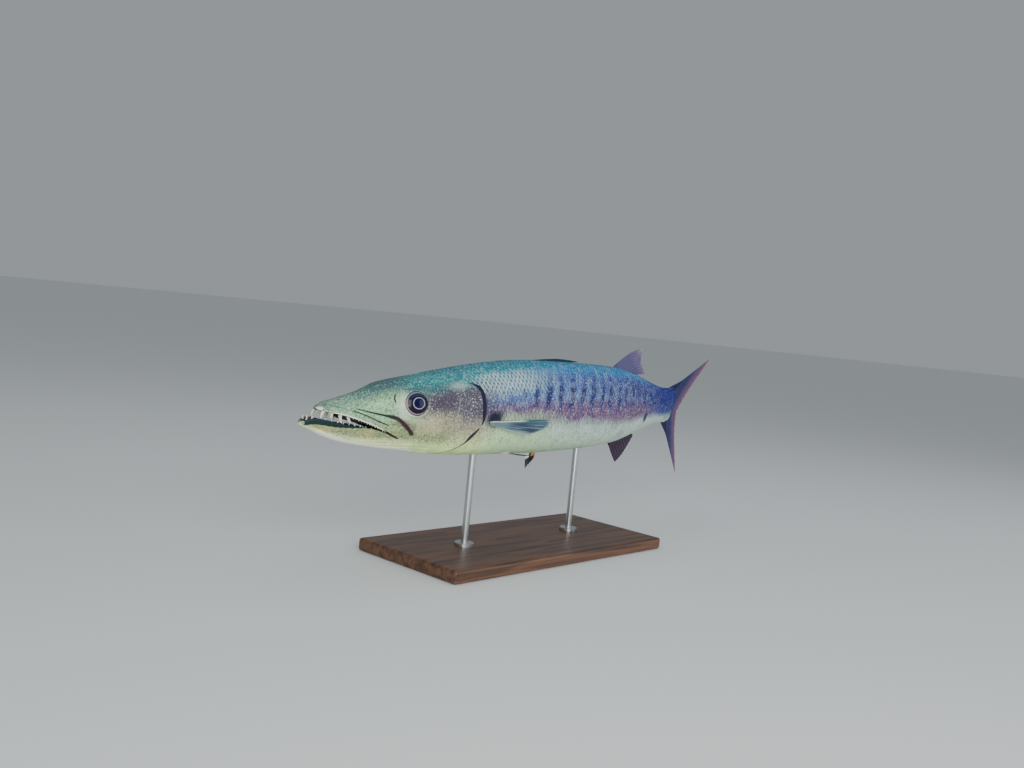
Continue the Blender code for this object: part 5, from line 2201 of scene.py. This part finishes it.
class Teeth:
    """All teeth of one jaw, as curved blades flattened from side to side."""

    UPPER_ROWS = (
        ToothRow(0.95, 4.75, 4, 12.6 * MM, 0.80, 1.2, -0.5, 0.05, 0.42),
        ToothRow(5.5, 11.2, 13, 1.9 * MM, 0.93, 0.70, 0.05),
        ToothRow(5.6, 8.2, 3, 5.0 * MM, 0.55, 0.60, 0.12, 0.35),
    )
    LOWER_ROWS = (
        ToothRow(-1.4, -0.6, 2, 5.2 * MM, 0.50, 9.0, 0.12, -0.05),
        ToothRow(1.2, 8.8, 9, 3.6 * MM, 0.86, 0.45, 0.15, -0.05),
    )

    def __init__(self, jaw: Jaw, size: ToothSize = ToothSize()) -> None:
        """Keeps the jaw, the tooth's shape and the jaw's rows."""
        self.jaw = jaw
        self.size = size
        self.rows = self.UPPER_ROWS if jaw is Jaw.UPPER else self.LOWER_ROWS
        self.lottery = np.random.default_rng(31)

    def tooth(self, spot: Array, direction: Array, length: float) -> tuple[Array, Array, Array]:
        """Points, faces and distances along one tooth.

        Args:
            spot: Place of the root.
            direction: Way it points.
            length: Length in metres.

        Returns:
            The three arrays.
        """
        size = self.size
        sides = size.sides
        rise = np.linspace(0, 1, size.rings) ** 0.8
        radius = (size.thick_share * length + size.thick_least) * (1 - rise**1.8) ** 0.75
        radius = radius * (1 + size.root_swell * bump(rise - 0.1, 0.16))
        back = np.array((1.0, 0.0, 0.0))
        back = back - direction * back.dot(direction)
        back = back / np.linalg.norm(back)
        side = np.cross(direction, back)
        curve = size.bend * length * (2 * rise - 1) ** 2
        centre = spot + np.outer(rise * (length + size.sunk) - size.sunk, direction)
        centre = centre + np.outer(curve, back)
        turn = 2 * math.pi * np.arange(sides) / sides
        shape = np.cos(turn)[:, None] * back * size.fore_and_aft
        shape = shape + np.sin(turn)[:, None] * side * size.crosswise
        points = centre[:, None] + radius[:, None, None] * shape[None]
        faces = []
        for i in range(size.rings - 1):
            for j in range(sides):
                after = (j + 1) % sides
                a, b = i * sides + j, i * sides + after
                faces += [(a, b, b + sides), (a, b + sides, a + sides)]
        faces += [(0, j + 1, j) for j in range(1, sides - 1)]
        return points.reshape(-1, 3), np.array(faces), np.repeat(rise, sides)

    def roots(self, row: ToothRow) -> list[tuple[Array, Array, float]]:
        """Root places, directions and lengths of a row on both sides.

        Args:
            row: The row.

        Returns:
            One entry for each tooth.
        """
        found = []
        for i, station in enumerate(np.linspace(row.first, row.last, row.count)):
            gape = between(FORM.upper_lip, station) - between(FORM.lower_lip, station)
            vary = 1 - 0.16 * ((i + 1) % 3)
            length = min(row.longest * vary, row.clear * float(gape) * FORM.percent)
            height = between(FORM.lip(self.jaw), station)
            across = float(FORM.section(station, FORM.angle_at(station, height))[0]) * row.share
            least = 0.5 if self.jaw is Jaw.UPPER else 0.0
            across *= max(float(FORM.rounding(station, self.jaw)), least)
            for side in Side:
                last = row.lean if row.lean_last is None else row.lean_last
                share = i / max(row.count - 1, 1)
                lean = row.lean + (last - row.lean) * share + 0.05 * self.lottery.normal()
                way = np.array((lean, -side.value * 0.10, self.jaw.value))
                spot = FORM.place(station, side.value * across, height + row.deeper)
                found.append((spot, way / np.linalg.norm(way), length))
        return found

    def build(self, finish: Finish) -> Piece:
        """Makes the jaw's teeth as one mesh.

        Args:
            finish: Its material.

        Returns:
            The piece.
        """
        points, faces, reach, count = [], [], [], 0
        for row in self.rows:
            for spot, way, length in self.roots(row):
                tooth, shape, along = self.tooth(spot, way, length)
                points.append(tooth)
                faces.append(shape + count)
                reach.append(along)
                count += len(tooth)
        name = f"teeth_{self.jaw.word}"
        made = add_mesh(name, np.vstack(points), np.vstack(faces))
        along = np.concatenate(reach)
        write_map(made, "ToothMap", np.stack((along, along), -1))
        made.data.materials.append(finish)
        close_up(made)
        bpy.ops.object.shade_smooth()
        return hand_over(made, "tooth")


@dataclass(frozen=True)
class TongueSize:
    """The tongue's middle, half sizes and depth under the lip, all in percent."""

    station: float = 6.2
    half_length: float = 4.4
    half_width: float = 0.75
    narrowing: float = 0.25
    half_height: float = 0.55
    under_lip: float = 0.45


class Tongue:
    """A low, narrow tongue on the floor of the mouth."""

    def __init__(self, size: TongueSize = TongueSize()) -> None:
        """Keeps the sizes."""
        self.size = size

    def build(self, finish: Finish) -> Piece:
        """Makes the tongue as a long flattened drop.

        Args:
            finish: Its material.

        Returns:
            The piece.
        """
        size = self.size
        bpy.ops.object.select_all(action="DESELECT")
        bpy.ops.mesh.primitive_uv_sphere_add(segments=32, ring_count=24, radius=1)
        tongue = bpy.context.object
        tongue.name = tongue.data.name = "tongue"
        for vertex in tongue.data.vertices:
            x, y, z = vertex.co
            station = size.station + size.half_length * x
            wide = size.half_width * (1 - size.narrowing + size.narrowing * x) * y
            floor = float(between(FORM.lower_lip, station)) - size.under_lip
            vertex.co = Vector(FORM.place(np.array(station), wide, floor + size.half_height * z))
        tongue.data.update()
        spots = np.full((len(tongue.data.vertices), 2), size.station / 100)
        write_map(tongue, "BodyMap", spots)
        tongue.data.materials.append(finish)
        close_up(tongue)
        bpy.ops.object.shade_smooth()
        return hand_over(tongue, "skin")


class Stand:
    """The wooden base and its two steel rods, which keep the solids' shapes."""

    def dress(self, wood: Finish, steel: Finish) -> list[Piece]:
        """Gives the stand's solids their finishes.

        Args:
            wood: Finish of the base.
            steel: Finish of the rods.

        Returns:
            The three solids.
        """
        finishes = {"stand_base": wood, "stand_rod_front": steel, "stand_rod_rear": steel}
        solids = [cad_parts[name] for name in finishes]
        for solid, finish in zip(solids, finishes.values()):
            solid.data.materials.clear()
            solid.data.materials.append(finish)
        return solids


@dataclass(frozen=True)
class CameraFit:
    """The camera that gives the photo's framing, fitted to the fish's outline."""

    azimuth: float = -47.45
    elevation: float = 3.80
    roll: float = 5.70
    distance: float = 1.493
    shift_right: float = -0.0316
    shift_up: float = 0.0366
    lens: float = 35.0


@dataclass(frozen=True)
class Lamp:
    """A square soft light: its name, place, width in metres, power in watts and colour."""

    name: str
    place: tuple
    size: float
    watts: float
    colour: str


class Studio:
    """Camera, pale floor and soft lights."""

    AIM = (-0.05, 0.0, 0.22)
    LAMPS = (
        Lamp("window light", (-1.3, -1.8, 0.75), 1.6, 40, "#ffffff"),
        Lamp("top light", (0.2, 0.1, 2.1), 1.8, 9, "#eef6ff"),
        Lamp("fill light", (1.6, -1.8, 0.5), 1.6, 14, "#f7f4ff"),
        Lamp("low light", (-1.0, -1.3, 0.08), 0.5, 4, "#f6ffe6"),
    )
    FLOOR_WIDTH = 80.0
    FLOOR_GAP = 0.4 * MM
    FLOOR_COLOUR = "#e8ebe9"
    ROOM_COLOUR = "#dde4ea"
    ROOM_STRENGTH = 0.43

    def __init__(self, fit: CameraFit = CameraFit()) -> None:
        """Keeps the camera's fit."""
        self.fit = fit

    def add_camera(self) -> None:
        """Sets the camera at the photo's view of the fish."""
        fit = self.fit
        azimuth, elevation = math.radians(fit.azimuth), math.radians(fit.elevation)
        roll = math.radians(fit.roll)
        flat = math.cos(elevation)
        back = Vector((math.sin(azimuth) * flat, -math.cos(azimuth) * flat, math.sin(elevation)))
        level = (-back).cross(Vector((0, 0, 1))).normalized()
        above = level.cross(-back)
        right = math.cos(roll) * level + math.sin(roll) * above
        up = math.cos(roll) * above - math.sin(roll) * level
        eye = back * fit.distance + right * fit.shift_right + up * fit.shift_up
        eye = eye + Vector((0, 0, FORM.axis_height))
        bpy.ops.object.camera_add()
        camera = bpy.context.object
        turned = Matrix((right, up, back)).transposed().to_4x4()
        camera.matrix_world = Matrix.Translation(eye) @ turned
        camera.data.lens = fit.lens
        camera.data.sensor_width = 36.0
        camera.data.clip_start = 0.01
        camera.data.dof.use_dof = False
        bpy.context.scene.camera = camera

    def add_light(self, lamp: Lamp) -> Piece:
        """Adds a lamp that points at the fish.

        Args:
            lamp: The lamp.

        Returns:
            The light.
        """
        bpy.ops.object.light_add(type="AREA", location=lamp.place)
        light = bpy.context.object
        light.name = lamp.name
        light.data.size = lamp.size
        light.data.energy = lamp.watts
        light.data.color = linear(lamp.colour)[:3]
        way = Vector(self.AIM) - Vector(lamp.place)
        light.rotation_euler = way.to_track_quat("-Z", "Y").to_euler()
        return light

    def build(self) -> None:
        """Makes the floor, the lights and the camera."""
        bpy.ops.mesh.primitive_plane_add(size=self.FLOOR_WIDTH, location=(0, 0, -self.FLOOR_GAP))
        floor = bpy.context.object
        floor.name = "floor"
        made, tree, shader = empty_finish("pale plaster floor")
        shader.inputs["Base Color"].default_value = linear(self.FLOOR_COLOUR)
        finish_with(tree, shader, {}, Roughness=0.85)
        floor.data.materials.append(made)
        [self.add_light(lamp) for lamp in self.LAMPS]
        world = bpy.context.scene.world or bpy.data.worlds.new("pale room")
        bpy.context.scene.world = world
        world.use_nodes = True
        backdrop = world.node_tree.nodes["Background"]
        backdrop.inputs["Color"].default_value = linear(self.ROOM_COLOUR)
        backdrop.inputs["Strength"].default_value = self.ROOM_STRENGTH
        self.add_camera()


def report(piece: Piece) -> None:
    """Logs a piece's name and its number of faces."""
    LOG.info("%s: %d faces", piece.name, len(piece.data.polygons))


def main() -> None:
    """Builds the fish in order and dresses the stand."""
    logging.basicConfig(level=logging.INFO, format="%(name)s %(message)s")
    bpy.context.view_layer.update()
    hide = FishHide()
    mouth = MouthLining().build()
    report(Skin().build(hide.build("wet fish skin", False), mouth))
    scaled = hide.build("wet fish scales", True)
    for side in Side:
        report(ScaleCoat(side).build(scaled))
    for cut, web in fin_cuts():
        report(Fin(cut).build(web.build(f"{cut.name} membrane")))
    glass = EyeGlass().build()
    for side in Side:
        report(Eye(side).build(glass))
    enamel = ToothEnamel().build()
    for jaw in Jaw:
        report(Teeth(jaw).build(enamel))
    report(Tongue().build(mouth))
    for piece in Stand().dress(Walnut().build(), BrushedSteel().build()):
        report(piece)
    Studio().build()


if __name__ == "__main__":
    main()
